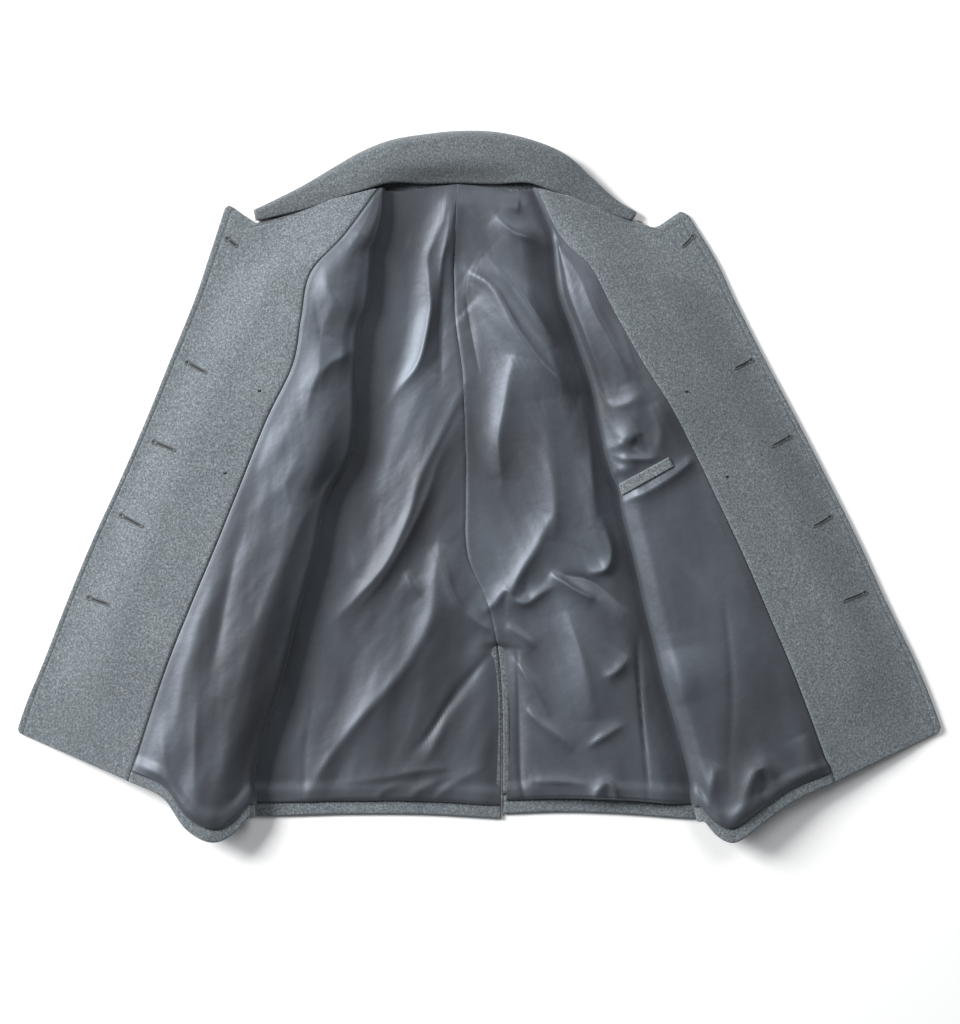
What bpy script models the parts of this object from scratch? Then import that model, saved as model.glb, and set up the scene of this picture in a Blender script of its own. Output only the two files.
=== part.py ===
"""A double-breasted wool pea coat, laid open on a flat surface with its lining up.

Metres, +Z up. The collar points to +Y, the hem to -Y, and "left" is the side at -X. The surface is
at z = 0.
Each half of the coat is one reference surface, the outer face of the wool. It runs from the front edge,
up over the sleeve that lies below it, round a rolled ridge, back below that ridge to the side seam, and
on under the back lining to the centre back. Every panel is a stretch of that surface, moved out from it.
"""

import math
from collections import namedtuple

import bmesh
import bpy
from mathutils import Vector
from mathutils.bvhtree import BVHTree

MM = 0.001

# The tables below are measured from near the middle of the back. The coat's empty brings the middle of its
# outline in plan to the origin.
PLAN_CENTRE = (1.0, 2.5)

# Cloth, in millimetres. A panel's offsets are its lower and upper face, measured from the reference surface.
WOOL = 2.5
LINING = 1.0
SEAM_GAP = 0.3
SHELL_LAYER = (0.0, WOOL)
FACING_LAYER = (WOOL + SEAM_GAP, 2 * WOOL + SEAM_GAP)
LINING_LAYER = (3.4, 3.4 + LINING)
LAYERS = LINING_LAYER[1]

# The fold at each side: the front lies on the back, with the two hem bands between them.
STACK = 2 * FACING_LAYER[1] + 2 * SEAM_GAP
VALLEY_RADIUS = STACK / 2

# The front rises from its edge over the sleeve.
FLAT_EDGE = 8.0
SHOULDER_OF_RISE = 100.0
PLATEAU = 17.0
SECOND_RISE = 60.0
NECK_LIFT = 6.5
NECK_LIFT_SHARE = 0.3
LAPEL_FLAT_SHARE = 0.22

# Where along a half, from neck 0 to hem 1, its panels end.
LINING_END = 0.991
FACING_END = 0.996
HEM_FALL_START = 0.84
HEM_PLATEAU_SHARE = 0.35
HEM_CURVE_START = 0.78

VENT_TOP = 0.85
VENT_EDGE = 0.7
VENT_FACING_WIDTH = 5.0
VENT_FACING_DROP = 40.0

BUTTON_DIAMETER = 32.0
BUTTON_THICKNESS = 4.0
BUTTON_CLEARANCE = 1.2

SLEEVE_HEIGHT = 8.5
SLEEVE_SIDES = 16

WELT_GAP = 1.0
WELT_THICKNESS = 2.0

Section = namedtuple("Section", "v edge seam ridge centre depth roll")
Sleeve = namedtuple("Sleeve", "x y width")
Collar = namedtuple("Collar", "neck roll_line height reach radius")
Fold = namedtuple("Fold", "start bend end width height")

# Each row is one section of a half, in millimetres: where its front edge, facing seam, ridge and centre
# back are in plan, how far the front lies over the back, and the radius of the ridge's roll.
LEFT_SECTIONS = [
    Section(0.0, (-303, 340), (-119, 355), (-112, 357), (-25, 361), 16, 1.6),
    Section(0.1, (-325, 271), (-160, 298), (-121, 300), (-28, 301), 22, 4.5),
    Section(0.2, (-341, 223), (-200, 253), (-127, 260), (-31, 262), 27, 6.5),
    Section(0.3, (-370, 151), (-211, 199), (-139, 202), (-27, 193), 32, 8.0),
    Section(0.4, (-399, 79), (-221, 144), (-147, 139), (-19, 133), 36, 9.0),
    Section(0.5, (-430, 7), (-253, 77), (-151, 67), (-16, 67), 40, 9.0),
    Section(0.6, (-463, -65), (-286, -5), (-173, -1), (-15, -5), 42, 9.0),
    Section(0.7, (-493, -137), (-315, -77), (-194, -77), (-13, -83), 44, 9.5),
    Section(0.8, (-521, -209), (-346, -151), (-214, -151), (14, -151), 46, 10.0),
    Section(0.9, (-541, -257), (-376, -228), (-244, -239), (27, -240), 48, 10.5),
    Section(1.0, (-554, -295), (-417, -353), (-268, -398), (28, -399), 50, 11.0),
]
RIGHT_SECTIONS = [
    Section(0.0, (250, 335), (71, 355), (63, 358), (-25, 361), 16, 1.6),
    Section(0.1, (285, 274), (100, 299), (87, 300), (-28, 301), 20, 4.0),
    Section(0.2, (308, 223), (134, 259), (93, 262), (-31, 262), 24, 6.0),
    Section(0.3, (344, 151), (160, 209), (107, 205), (-27, 193), 28, 7.0),
    Section(0.4, (382, 79), (197, 143), (134, 142), (-19, 133), 32, 8.0),
    Section(0.5, (419, 7), (236, 82), (145, 73), (-16, 67), 36, 8.5),
    Section(0.6, (455, -65), (277, -1), (167, -5), (-15, -5), 40, 9.0),
    Section(0.7, (488, -137), (314, -79), (185, -79), (-13, -83), 42, 9.5),
    Section(0.8, (523, -209), (347, -155), (203, -155), (14, -151), 44, 10.0),
    Section(0.9, (543, -257), (381, -236), (226, -245), (27, -240), 46, 10.5),
    Section(1.0, (556, -293), (425, -355), (262, -402), (29, -393), 48, 11.0),
]

# The lapel's top edge: from its point, by the notch, along the gorge seam to the neck.
LEFT_TOP = [(0.0, -303, 340), (0.2, -268, 315), (0.46, -218, 326), (0.74, -162, 343), (1.0, -119, 355)]
RIGHT_TOP = [(0.0, 250, 335), (0.2, 212, 309), (0.46, 160, 323), (0.74, 111, 340), (1.0, 71, 355)]

# The hem between facing seam and ridge, where it swings out into a lobe.
LEFT_LOBE = [
    (0.0, -417, -353), (0.3, -372, -374), (0.5, -344, -410), (0.68, -314, -426), (0.85, -289, -419),
    (1.0, -268, -398),
]
RIGHT_LOBE = [
    (0.0, 425, -355), (0.3, 374, -377), (0.5, 333, -405), (0.68, 302, -426), (0.85, 281, -421),
    (1.0, 262, -402),
]

# How far the back's neck and its hem bend from straight lines, between the side fold and the centre back.
NECK_CURVE = [(0.0, 0.0), (0.35, -4.0), (0.7, -1.0), (1.0, 0.0)]
HEM_CURVE = [(0.0, -8.0), (0.18, -8.0), (0.45, -2.0), (0.73, 1.5), (1.0, 0.0)]

# The collar from the left notch to the right one: the neck seam and the roll line in plan, the seam's
# height, how far the fall reaches back below, and the radius of the roll.
COLLAR = [
    Collar((-267, 317.5), (-269, 331), 6.0, 13, 0.6),
    Collar((-240, 323.5), (-241, 344), 6.2, 18, 1.0),
    Collar((-203, 332.5), (-208, 361), 8.0, 28, 2.0),
    Collar((-167, 344.5), (-172, 382), 13.0, 41, 4.0),
    Collar((-136, 353.5), (-140, 400), 18.5, 56, 6.0),
    Collar((-104, 362.5), (-104, 414), 17.0, 70, 7.0),
    Collar((-64, 362), (-64, 421), 8.5, 78, 7.0),
    Collar((-25, 363), (-22, 425), 7.2, 80, 7.0),
    Collar((20, 362), (22, 423.5), 8.0, 78, 7.0),
    Collar((58, 362.5), (66, 413.5), 17.0, 68, 6.5),
    Collar((84, 354.5), (104, 397), 18.0, 52, 5.5),
    Collar((116, 342.5), (134, 371), 12.0, 34, 3.5),
    Collar((150, 329.8), (165, 343), 7.0, 20, 1.5),
    Collar((184, 318.5), (191, 327.5), 6.0, 11, 0.5),
]

# Each sleeve from its head to its cuff, flattened below the front.
LEFT_SLEEVE = [
    Sleeve(-222, 232, 92), Sleeve(-236, 186, 112), Sleeve(-264, 100, 130), Sleeve(-299, 0, 142),
    Sleeve(-337, -100, 148), Sleeve(-364, -170, 144), Sleeve(-382, -222, 138),
]
RIGHT_SLEEVE = [
    Sleeve(196, 228, 86), Sleeve(213, 182, 108), Sleeve(248, 100, 126), Sleeve(287, 0, 140),
    Sleeve(327, -100, 148), Sleeve(356, -170, 144), Sleeve(376, -222, 138),
]

BUTTONS = {
    "left_upper": (-261, 113), "left_lower": (-302, 15),
    "right_upper": (247, 112), "right_lower": (296, 11),
}

# The welt of the inside pocket: its upper edge and its lower edge, each from the ridge outwards.
WELT_UPPER = ((173, 6), (226, 34))
WELT_LOWER = ((177, -8), (233, 23))

# The largest folds of the back lining.
BACK_FOLDS = [
    Fold((-40, 330), (-62, 170), (-150, 40), 24, 9),
    Fold((0, 235), (40, 160), (115, 60), 22, 8),
    Fold((-28, 60), (-70, -70), (-165, -165), 22, 9),
    Fold((-40, -110), (-95, -220), (-205, -330), 26, 8),
    Fold((100, 20), (60, -90), (20, -160), 22, 7),
]
FOLD_FREE_START = 54
FOLD_FREE_FULL = 92
FOLD_CENTRE_FULL = 30
FOLD_STEPS = 12

FACING_STEPS = [0.0, 0.2, 0.46, 0.74, 1.0]
TOP_RUN_STEPS = [0.2, 0.4, 0.6, 0.8, 1.0]
ROLL_ANGLES = [50, 0, -50, -90]
VALLEY_ANGLES = [90, 30, -30, -90]
BACK_STEPS = [i / 8 for i in range(1, 9)]
ROWS = [
    0.0, 0.05, 0.1, 0.16, 0.23, 0.3, 0.4, 0.5, 0.6, 0.7, 0.78, VENT_TOP, 0.92, 0.96,
    LINING_END, FACING_END, 1.0,
]
COLLAR_ANGLES = [90, 45, 0, -45, -90]

FACING_COLUMNS = len(FACING_STEPS)
FRONT_COLUMNS = FACING_COLUMNS + len(TOP_RUN_STEPS) + len(ROLL_ANGLES) + len(VALLEY_ANGLES)

WOOL_COLOUR = (0.20, 0.21, 0.215)
LINING_COLOUR = (0.10, 0.115, 0.135)
BUTTON_COLOUR = (0.03, 0.03, 0.032)


# ---- curves through short tables -------------------------------------------------------------------

def smoothstep(low, high, value):
    t = min(1.0, max(0.0, (value - low) / (high - low)))
    return t * t * (3 - 2 * t)


def between(keys, values, at):
    """The value at one place on a smooth curve through (key, value) pairs."""
    last = len(keys) - 1
    i = max(0, min(last - 1, sum(1 for key in keys[1:] if key <= at)))

    def slope(k):
        low, high = max(0, k - 1), min(last, k + 1)
        return (values[high] - values[low]) / (keys[high] - keys[low])

    width = keys[i + 1] - keys[i]
    t = min(1.0, max(0.0, (at - keys[i]) / width))
    start, end = slope(i) * width, slope(i + 1) * width
    return (
        values[i] * (2 * t**3 - 3 * t**2 + 1)
        + start * (t**3 - 2 * t**2 + t)
        + values[i + 1] * (3 * t**2 - 2 * t**3)
        + end * (t**3 - t**2)
    )


def on_sections(sections, column, v):
    """A column of the section table at v: a plan point, or a number."""
    keys = [s.v for s in sections]
    values = [getattr(s, column) for s in sections]
    if isinstance(values[0], tuple):
        return Vector([between(keys, [value[k] for value in values], v) for k in (0, 1)])
    return between(keys, values, v)


def on_outline(outline, u):
    """A plan point at u on a straight-sided outline of (u, x, y) points."""
    for (u0, x0, y0), (u1, x1, y1) in zip(outline, outline[1:]):
        if u <= u1:
            t = (u - u0) / (u1 - u0)
            return Vector((x0 + (x1 - x0) * t, y0 + (y1 - y0) * t))
    return Vector(outline[-1][1:])


def on_curve(curve, t):
    return between([row[0] for row in curve], [row[1] for row in curve], t)


def on_smooth_outline(outline, u):
    keys = [row[0] for row in outline]
    return Vector([between(keys, [row[k] for row in outline], u) for k in (1, 2)])


# ---- the reference surface -------------------------------------------------------------------------

class Half:
    """One half of the coat, as tables of its sections and outlines."""

    def __init__(self, name, sections, top, lobe, out):
        self.name = name
        self.sections = sections
        self.top = top
        self.lobe = lobe
        self.out = out

    def facing_plan(self, u, v):
        """A plan point between front edge, u 0, and facing seam, u 1."""
        edge, seam = (on_sections(self.sections, c, v) for c in ("edge", "seam"))
        straight_top = Vector(self.top[0][1:]).lerp(Vector(self.top[-1][1:]), u)
        return edge.lerp(seam, u) + (on_outline(self.top, u) - straight_top) * (1 - v) ** 6

    def lining_plan(self, t, v, seam, end):
        """A plan point between the facing seam, t 0, and the middle of the roll, t 1."""
        straight = Vector(self.lobe[0][1:]).lerp(Vector(self.lobe[-1][1:]), t)
        swing = smoothstep(HEM_CURVE_START, 1, v) ** 2
        return seam.lerp(end, t) + (on_smooth_outline(self.lobe, t) - straight) * swing

    def rise(self, s, width, v, top):
        """The height of the reference surface, s from the front edge."""
        share = 1 - (1 - HEM_PLATEAU_SHARE) * smoothstep(HEM_FALL_START, 1, v)
        plateau = min(PLATEAU * share * smoothstep(0, LAPEL_FLAT_SHARE, v), top)
        first = plateau * smoothstep(FLAT_EDGE, SHOULDER_OF_RISE, s)
        return first + (top - plateau) * smoothstep(SECOND_RISE, width, s)

    def row(self, v):
        """The reference surface's points across the half at v, from the front edge to the centre back."""
        columns = ("edge", "seam", "ridge", "centre")
        edge, seam, ridge, centre = (on_sections(self.sections, column, v) for column in columns)
        depth, roll = (on_sections(self.sections, c, v) for c in ("depth", "roll"))
        outward = (seam - ridge).normalized()
        lift = NECK_LIFT * (1 - smoothstep(0, NECK_LIFT_SHARE, v))
        low = STACK + lift
        roll_centre = ridge + outward * (roll + LAYERS)
        valley_centre = ridge + outward * (depth - VALLEY_RADIUS)
        flat = [self.facing_plan(u, v) for u in FACING_STEPS]
        flat += [self.lining_plan(t, v, flat[-1], roll_centre) for t in TOP_RUN_STEPS]
        width = (roll_centre - edge).length
        top = low + 2 * roll
        points = [Vector((*p, self.rise(min(width, (p - edge).length), width, v, top))) for p in flat]
        points[FACING_COLUMNS + len(TOP_RUN_STEPS) - 1].z = top
        for angle in map(math.radians, ROLL_ANGLES):
            plan = roll_centre - outward * (roll * math.cos(angle))
            points.append(Vector((*plan, low + roll + roll * math.sin(angle))))
        for angle in map(math.radians, VALLEY_ANGLES):
            plan = valley_centre + outward * (VALLEY_RADIUS * math.cos(angle))
            points.append(Vector((*plan, lift + VALLEY_RADIUS + VALLEY_RADIUS * math.sin(angle))))
        for t in BACK_STEPS:
            plan = valley_centre.lerp(centre, t)
            plan.y += on_curve(NECK_CURVE, t) * (1 - v) ** 6
            plan.y += on_curve(HEM_CURVE, t) * smoothstep(HEM_CURVE_START, 1, v) ** 2
            points.append(Vector((*plan, lift)))
        return points


def normals_of(grid, turn):
    """The direction from the wool's outer face to the lining, at each point of a grid."""
    found = []
    for j, row in enumerate(grid):
        above, below = grid[max(0, j - 1)], grid[min(len(grid) - 1, j + 1)]
        line = []
        for i in range(len(row)):
            across = row[min(len(row) - 1, i + 1)] - row[max(0, i - 1)]
            down = below[i] - above[i]
            line.append(down.cross(across).normalized() * turn)
        found.append(line)
    return found


def moved_out(grid, normals, distance):
    return [[p + n * distance for p, n in zip(row, line)] for row, line in zip(grid, normals)]


def trimmed(grid, start=0.0, end=0.0, top=0.0):
    """A grid with its first and last column and its first row drawn in, which leaves the gap of a seam."""
    rows = [list(row) for row in grid]

    def draw(point, towards, gap):
        return point + (towards - point).normalized() * gap

    for row in rows:
        row[0], row[-1] = draw(row[0], row[1], start), draw(row[-1], row[-2], end)
    rows[0] = [draw(p, q, top) for p, q in zip(rows[0], rows[1])]
    return rows


def part_of(grid, columns, rows=slice(None)):
    return [row[columns] for row in grid[rows]]


# ---- making objects --------------------------------------------------------------------------------

def material_of(name, colour, roughness):
    material = bpy.data.materials.new(name)
    material.use_nodes = True
    shader = material.node_tree.nodes["Principled BSDF"]
    shader.inputs["Base Color"].default_value = (*colour, 1)
    shader.inputs["Roughness"].default_value = roughness
    shader.inputs["Metallic"].default_value = 0
    return material


def finish(obj, material):
    """Gives an object its material, puts it in the coat's collection and parents it to the coat's empty."""
    obj.data.materials.clear()
    obj.data.materials.append(material)
    for collection in list(obj.users_collection):
        collection.objects.unlink(obj)
    coat.objects.link(obj)
    obj.parent = root
    return obj


def wall(name, lower, upper, material):
    """A cloth wall lofted between two grids of points, closed all round by its rim.

    Both sides have the same diagonals, so that walls on one reference surface never meet.
    """
    down, across = len(lower), len(lower[0])
    side = down * across
    faces = []
    for j in range(down - 1):
        for i in range(across - 1):
            a = j * across + i
            b, c, d = a + 1, a + across + 1, a + across
            for first, second, third in ((a, b, c), (a, c, d)):
                faces += [(first, second, third), (third + side, second + side, first + side)]
    rim = list(range(across))
    rim += [j * across + across - 1 for j in range(1, down)]
    rim += [(down - 1) * across + i for i in range(across - 2, -1, -1)]
    rim += [j * across for j in range(down - 2, 0, -1)]
    for a, b in zip(rim, rim[1:] + rim[:1]):
        faces += [(b, a, a + side), (b, a + side, b + side)]
    mesh = bpy.data.meshes.new(name)
    mesh.from_pydata([p * MM for grid in (lower, upper) for row in grid for p in row], [], faces)
    bm = bmesh.new()
    bm.from_mesh(mesh)
    bmesh.ops.recalc_face_normals(bm, faces=bm.faces)
    bm.to_mesh(mesh)
    bm.free()
    return finish(bpy.data.objects.new(name, mesh), material)


def layered(name, grid, normals, layer, material, columns=slice(None), rows=slice(None), **gaps):
    """A wall on some of the columns and rows of a reference surface, moved out to a layer."""
    sides = (trimmed(part_of(moved_out(grid, normals, z), columns, rows), **gaps) for z in layer)
    return wall(name, *sides, material)


# ---- the two halves --------------------------------------------------------------------------------

def fold_line(fold):
    start, bend, end = (Vector(p) for p in (fold.start, fold.bend, fold.end))
    shares = [k / FOLD_STEPS for k in range(FOLD_STEPS + 1)]
    return [start.lerp(bend, t).lerp(bend.lerp(end, t), t) for t in shares]


def fold_height(point):
    """How much the back lining stands up at a point, over its largest folds."""
    total = 0.0
    for fold in BACK_FOLDS:
        line = fold_line(fold)
        distance, near = min(((p - point.xy).length, k) for k, p in enumerate(line))
        fade = math.sin(math.pi * (near + 1) / (FOLD_STEPS + 2))
        total += fold.height * fade * math.exp(-((distance / fold.width) ** 2))
    return total


def folded(row):
    """A row of the back, raised over the folds where the front doesn't cover it."""
    raised = []
    for point in row:
        from_side = (point.xy - row[0].xy).length
        from_centre = (point.xy - row[-1].xy).length
        free = smoothstep(FOLD_FREE_START, FOLD_FREE_FULL, from_side)
        free *= smoothstep(0, FOLD_CENTRE_FULL, from_centre)
        raised.append(point + Vector((0, 0, fold_height(point) * free)))
    return raised


def front_pieces(side, grid, normals):
    lining_rows = slice(0, ROWS.index(LINING_END) + 1)
    facing_rows = slice(0, ROWS.index(FACING_END) + 1)
    hem_rows = slice(ROWS.index(LINING_END), len(ROWS))
    front = slice(0, FRONT_COLUMNS)
    facing = slice(0, FACING_COLUMNS)
    lining = slice(FACING_COLUMNS - 1, FRONT_COLUMNS)
    half_seam = SEAM_GAP / 2
    layered(f"front_shell_{side}", grid, normals, SHELL_LAYER, wool, front, end=half_seam)
    layered(f"facing_{side}", grid, normals, FACING_LAYER, wool, facing, facing_rows, end=half_seam)
    layered(f"front_lining_{side}", grid, normals, LINING_LAYER, satin, lining, lining_rows,
            start=half_seam, end=half_seam)
    layered(f"hem_front_{side}", grid, normals, FACING_LAYER, wool, lining, hem_rows,
            start=half_seam, end=half_seam, top=SEAM_GAP)


def back_pieces(side, grid, normals):
    back = slice(FRONT_COLUMNS - 1, None)
    lining_end = ROWS.index(LINING_END)
    hem_rows = slice(lining_end, len(ROWS))
    half_seam = SEAM_GAP / 2
    layered(f"back_shell_{side}", grid, normals, SHELL_LAYER, wool, back, start=half_seam, end=VENT_EDGE)
    layered(f"hem_back_{side}", grid, normals, FACING_LAYER, wool, back, hem_rows,
            start=half_seam, end=VENT_EDGE, top=SEAM_GAP)

    sides = []
    for z in LINING_LAYER:
        flat = part_of(moved_out(grid, normals, z), back, slice(0, lining_end + 1))
        rows = trimmed([folded(row) for row in flat], start=half_seam, end=half_seam)
        for row in rows[ROWS.index(VENT_TOP):]:
            row[-1] += (row[-2] - row[-1]).normalized() * VENT_FACING_WIDTH
        sides.append(rows)
    wall(f"back_lining_{side}", *sides, satin)

    strip = []
    for row in part_of(grid, back, slice(ROWS.index(VENT_TOP), lining_end + 1)):
        inward = (row[-2] - row[-1]).normalized()
        strip.append([row[-1] + inward * (VENT_FACING_WIDTH - SEAM_GAP), row[-1] + inward * VENT_EDGE])
    strip[0] = [p + (q - p).normalized() * VENT_FACING_DROP for p, q in zip(strip[0], strip[1])]
    upright = [[Vector((0, 0, 1))] * 2] * len(strip)
    layered(f"vent_facing_{side}", strip, upright, FACING_LAYER, wool)


def make_half(half):
    grid = [half.row(v) for v in ROWS]
    normals = normals_of(grid, -half.out)
    front_pieces(half.name, grid, normals)
    back_pieces(half.name, grid, normals)
    return grid, normals


# ---- collar, sleeves, welt and buttons -------------------------------------------------------------

def collar_path(station):
    """The innermost surface of the collar at one station: stand, roll and fall."""
    neck, roll_line = Vector(station.neck), Vector(station.roll_line)
    out = (roll_line - neck).normalized()
    folded_height = FACING_LAYER[1]
    centre = roll_line - out * (station.radius + folded_height)
    top = folded_height + 2 * station.radius
    middle = neck.lerp(centre, 0.5)
    path = [Vector((*neck, station.height)), Vector((*middle, max(top, station.height)))]
    for angle in map(math.radians, COLLAR_ANGLES):
        plan = centre + out * (station.radius * math.cos(angle))
        path.append(Vector((*plan, folded_height + station.radius * (1 + math.sin(angle)))))
    path.append(Vector((*(roll_line - out * station.reach), folded_height)))
    return path


def make_collar():
    grid = [collar_path(station) for station in COLLAR]
    normals = normals_of(grid, 1)
    layered("under_collar", grid, normals, SHELL_LAYER, wool, start=SEAM_GAP)
    layered("upper_collar", grid, normals, FACING_LAYER, wool, start=SEAM_GAP)


def make_sleeve(side, sections):
    """A flattened tube, open at its head and its cuff."""
    rings = []
    for k, section in enumerate(sections):
        before, after = sections[max(0, k - 1)], sections[min(len(sections) - 1, k + 1)]
        along = Vector((after.x - before.x, after.y - before.y)).normalized()
        across = Vector((-along.y, along.x))
        ring = []
        for step in range(SLEEVE_SIDES + 1):
            angle = 2 * math.pi * step / SLEEVE_SIDES
            reach = math.copysign(abs(math.cos(angle)) ** 0.5, math.cos(angle)) * section.width / 2
            height = math.copysign(abs(math.sin(angle)) ** 0.5, math.sin(angle)) * SLEEVE_HEIGHT / 2
            plan = Vector((section.x, section.y)) + across * reach
            ring.append(Vector((*plan, SLEEVE_HEIGHT / 2 + height)))
        rings.append(ring)
    tube(f"sleeve_{side}", rings, wool)


def tube(name, rings, material):
    """A cloth tube through rings of points, as an open sheet that Solidify thickens inwards."""
    around = SLEEVE_SIDES
    points = [p * MM for ring in rings for p in ring[:around]]
    faces = []
    for start in range(0, (len(rings) - 1) * around, around):
        for i in range(around):
            a, b = start + i, start + (i + 1) % around
            faces.append((a, b, b + around, a + around))
    mesh = bpy.data.meshes.new(name)
    mesh.from_pydata(points, [], faces)
    bm = bmesh.new()
    bm.from_mesh(mesh)
    bmesh.ops.recalc_face_normals(bm, faces=bm.faces)
    bm.to_mesh(mesh)
    bm.free()
    obj = bpy.data.objects.new(name, mesh)
    thicken = obj.modifiers.new("Wall", "SOLIDIFY")
    thicken.thickness = WOOL * MM
    thicken.offset = -1
    return finish(obj, material)


def surface_of(grid, normals):
    """A tree to find the top of the lining above a plan point."""
    top = moved_out(grid, normals, LINING_LAYER[1])
    across = len(top[0])
    points = [p for row in top for p in row]
    faces = []
    for j in range(len(top) - 1):
        for i in range(across - 1):
            a = j * across + i
            faces += [(a, a + 1, a + across + 1), (a, a + across + 1, a + across)]
    return BVHTree.FromPolygons(points, faces)


def make_welt(grid, normals):
    tree = surface_of(grid, normals)
    lower = []
    for t in (0.0, 0.34, 0.67, 1.0):
        line = []
        for k in range(7):
            upper_edge, lower_edge = (Vector(a).lerp(Vector(b), k / 6) for a, b in (WELT_UPPER, WELT_LOWER))
            plan = upper_edge.lerp(lower_edge, t)
            hit = tree.ray_cast(Vector((*plan, 100)), Vector((0, 0, -1)))[0]
            line.append(hit + Vector((0, 0, WELT_GAP)))
        lower.append(line)
    upper = [[p + Vector((0, 0, WELT_THICKNESS)) for p in line] for line in lower]
    wall("pocket_welt", lower, upper, wool)


def make_button(name, plan):
    """A turned button with a raised rim, face down below the front."""
    top = PLATEAU - BUTTON_CLEARANCE
    bpy.ops.mesh.primitive_cylinder_add(
        vertices=24, radius=BUTTON_DIAMETER / 2 * MM, depth=BUTTON_THICKNESS * MM,
        location=(plan[0] * MM, plan[1] * MM, (top - BUTTON_THICKNESS / 2) * MM),
    )
    obj = bpy.context.object
    obj.name = f"button_{name}"
    soften = obj.modifiers.new("Rim", "BEVEL")
    soften.width = 1.2 * MM
    soften.segments = 2
    return finish(obj, horn)


def clear_scene():
    for obj in list(bpy.data.objects):
        bpy.data.objects.remove(obj, do_unlink=True)


clear_scene()
coat = bpy.data.collections.new("pea_coat")
bpy.context.scene.collection.children.link(coat)
root = bpy.data.objects.new("pea_coat_origin", None)
root.location = (-PLAN_CENTRE[0] * MM, -PLAN_CENTRE[1] * MM, 0)
coat.objects.link(root)
wool = material_of("wool_melton", WOOL_COLOUR, 0.95)
satin = material_of("satin_lining", LINING_COLOUR, 0.4)
horn = material_of("button_horn", BUTTON_COLOUR, 0.35)

make_half(Half("left", LEFT_SECTIONS, LEFT_TOP, LEFT_LOBE, -1))
make_welt(*make_half(Half("right", RIGHT_SECTIONS, RIGHT_TOP, RIGHT_LOBE, 1)))
make_collar()
make_sleeve("left", LEFT_SLEEVE)
make_sleeve("right", RIGHT_SLEEVE)
for button, place in BUTTONS.items():
    make_button(button, place)
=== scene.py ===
"""The looks of a wool pea coat that lies open on a pale floor, its satin lining up.

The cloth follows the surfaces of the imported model. Lengths in the tables are millimetres, in the tables' own
frame, and placed() turns them into the model's frame in metres.
"""

import math
from collections import namedtuple

import bpy
import numpy as np
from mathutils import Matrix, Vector
from mathutils.bvhtree import BVHTree


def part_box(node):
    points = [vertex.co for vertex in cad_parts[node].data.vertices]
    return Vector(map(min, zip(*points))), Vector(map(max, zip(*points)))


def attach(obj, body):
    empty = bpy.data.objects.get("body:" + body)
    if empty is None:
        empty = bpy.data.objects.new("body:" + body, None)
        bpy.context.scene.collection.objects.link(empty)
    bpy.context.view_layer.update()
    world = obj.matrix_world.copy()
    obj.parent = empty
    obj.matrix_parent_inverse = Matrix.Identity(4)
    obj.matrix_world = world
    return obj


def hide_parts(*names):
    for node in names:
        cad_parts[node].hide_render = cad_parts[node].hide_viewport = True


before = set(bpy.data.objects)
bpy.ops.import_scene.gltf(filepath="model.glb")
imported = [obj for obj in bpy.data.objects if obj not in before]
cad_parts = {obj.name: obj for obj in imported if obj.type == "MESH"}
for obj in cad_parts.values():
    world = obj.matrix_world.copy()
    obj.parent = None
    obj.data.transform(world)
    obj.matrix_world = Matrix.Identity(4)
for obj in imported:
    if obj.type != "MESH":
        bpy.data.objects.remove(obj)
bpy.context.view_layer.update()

MM = 0.001
PLAN_CENTRE = np.array([1.0, 2.5, 0.0])

# Cloth, in millimetres. A layer is a panel's lower and upper face, measured from the wool's outer face.
WOOL = 2.5
LINING = 1.0
SHELL_LAYER = (0.0, WOOL)
FACING_LAYER = (2.8, 5.3)
LINING_LAYER = (3.4, 4.4)
LAYERS = LINING_LAYER[1]
STACK = 2 * FACING_LAYER[1] + 0.6
EDGE_WALL = 0.05
EDGE_DRAWN_UP = WOOL - 0.2
VALLEY_RADIUS = STACK / 2

# How a front rises over its sleeve, from its edge to its rolled ridge.
FLAT_EDGE = 8.0
SHOULDER_OF_RISE = 100.0
PLATEAU = 17.0
SECOND_RISE = 60.0
NECK_LIFT = 6.5
NECK_LIFT_SHARE = 0.3
LAPEL_FLAT_SHARE = 0.22
HEM_FALL_START = 0.84
HEM_PLATEAU_SHARE = 0.35
HEM_CURVE_START = 0.78
ROLL_SHARE = 0.6
ROLL_START = math.radians(66)
CREST_DROP = {"left": 0.3, "right": 0.4}
CREST_FALL = 1.25
FULL_ROLL = 7
FRONT_WAVES = (1.1, 90, 3)

# How far inside its ridge each front is highest: place along the half, distance.
CREST_INSET = {
    "left": [(0.0, 20), (0.2, 30), (0.45, 32), (0.6, 28), (1.0, 30)],
    "right": [(0.0, 24), (0.15, 36), (0.38, 44), (0.48, 38), (0.56, 16), (1.0, 14)],
}

# Places along a half, from neck 0 to hem 1.
LINING_END = 0.991
HEM_BAND_START = LINING_END - 0.006
VENT_TOP = 0.85

# Edges of wool: how round they are, and where the topstitching pulls them in.
EDGE_ROUND = 2.4
TOPSTITCH_INSET = 8.0
TOPSTITCH_DEPTH = 0.7
TOPSTITCH_WIDTH = 1.1
LAPEL_EDGE = 62
VENT_EDGE = 0.7
VENT_EASE = 40
VENT_FACING_WIDTH = {"left": 1.8, "right": 4.6}

# How far the folds wander from their paths, and how much wider they are than their tables say.
FOLD_DRIFT = 3.0
FOLD_WIDTH = 1.08
FOLD_HEIGHT = 1.25
TOWARDS_LIGHT = (-0.9, 0.44)

# A fold's cross-section, as (share of its height, spread) of the soft humps that add up to it.
FOLD_PROFILE = [(0.2, 0.14), (0.36, 0.9), (0.44, 4.5)]
FRONT_FOLD_SHARE = {"left": 0.52, "right": 1.0}
BACK_FOLD_SHARE = {"left": 0.85, "right": 1.25}

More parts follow.
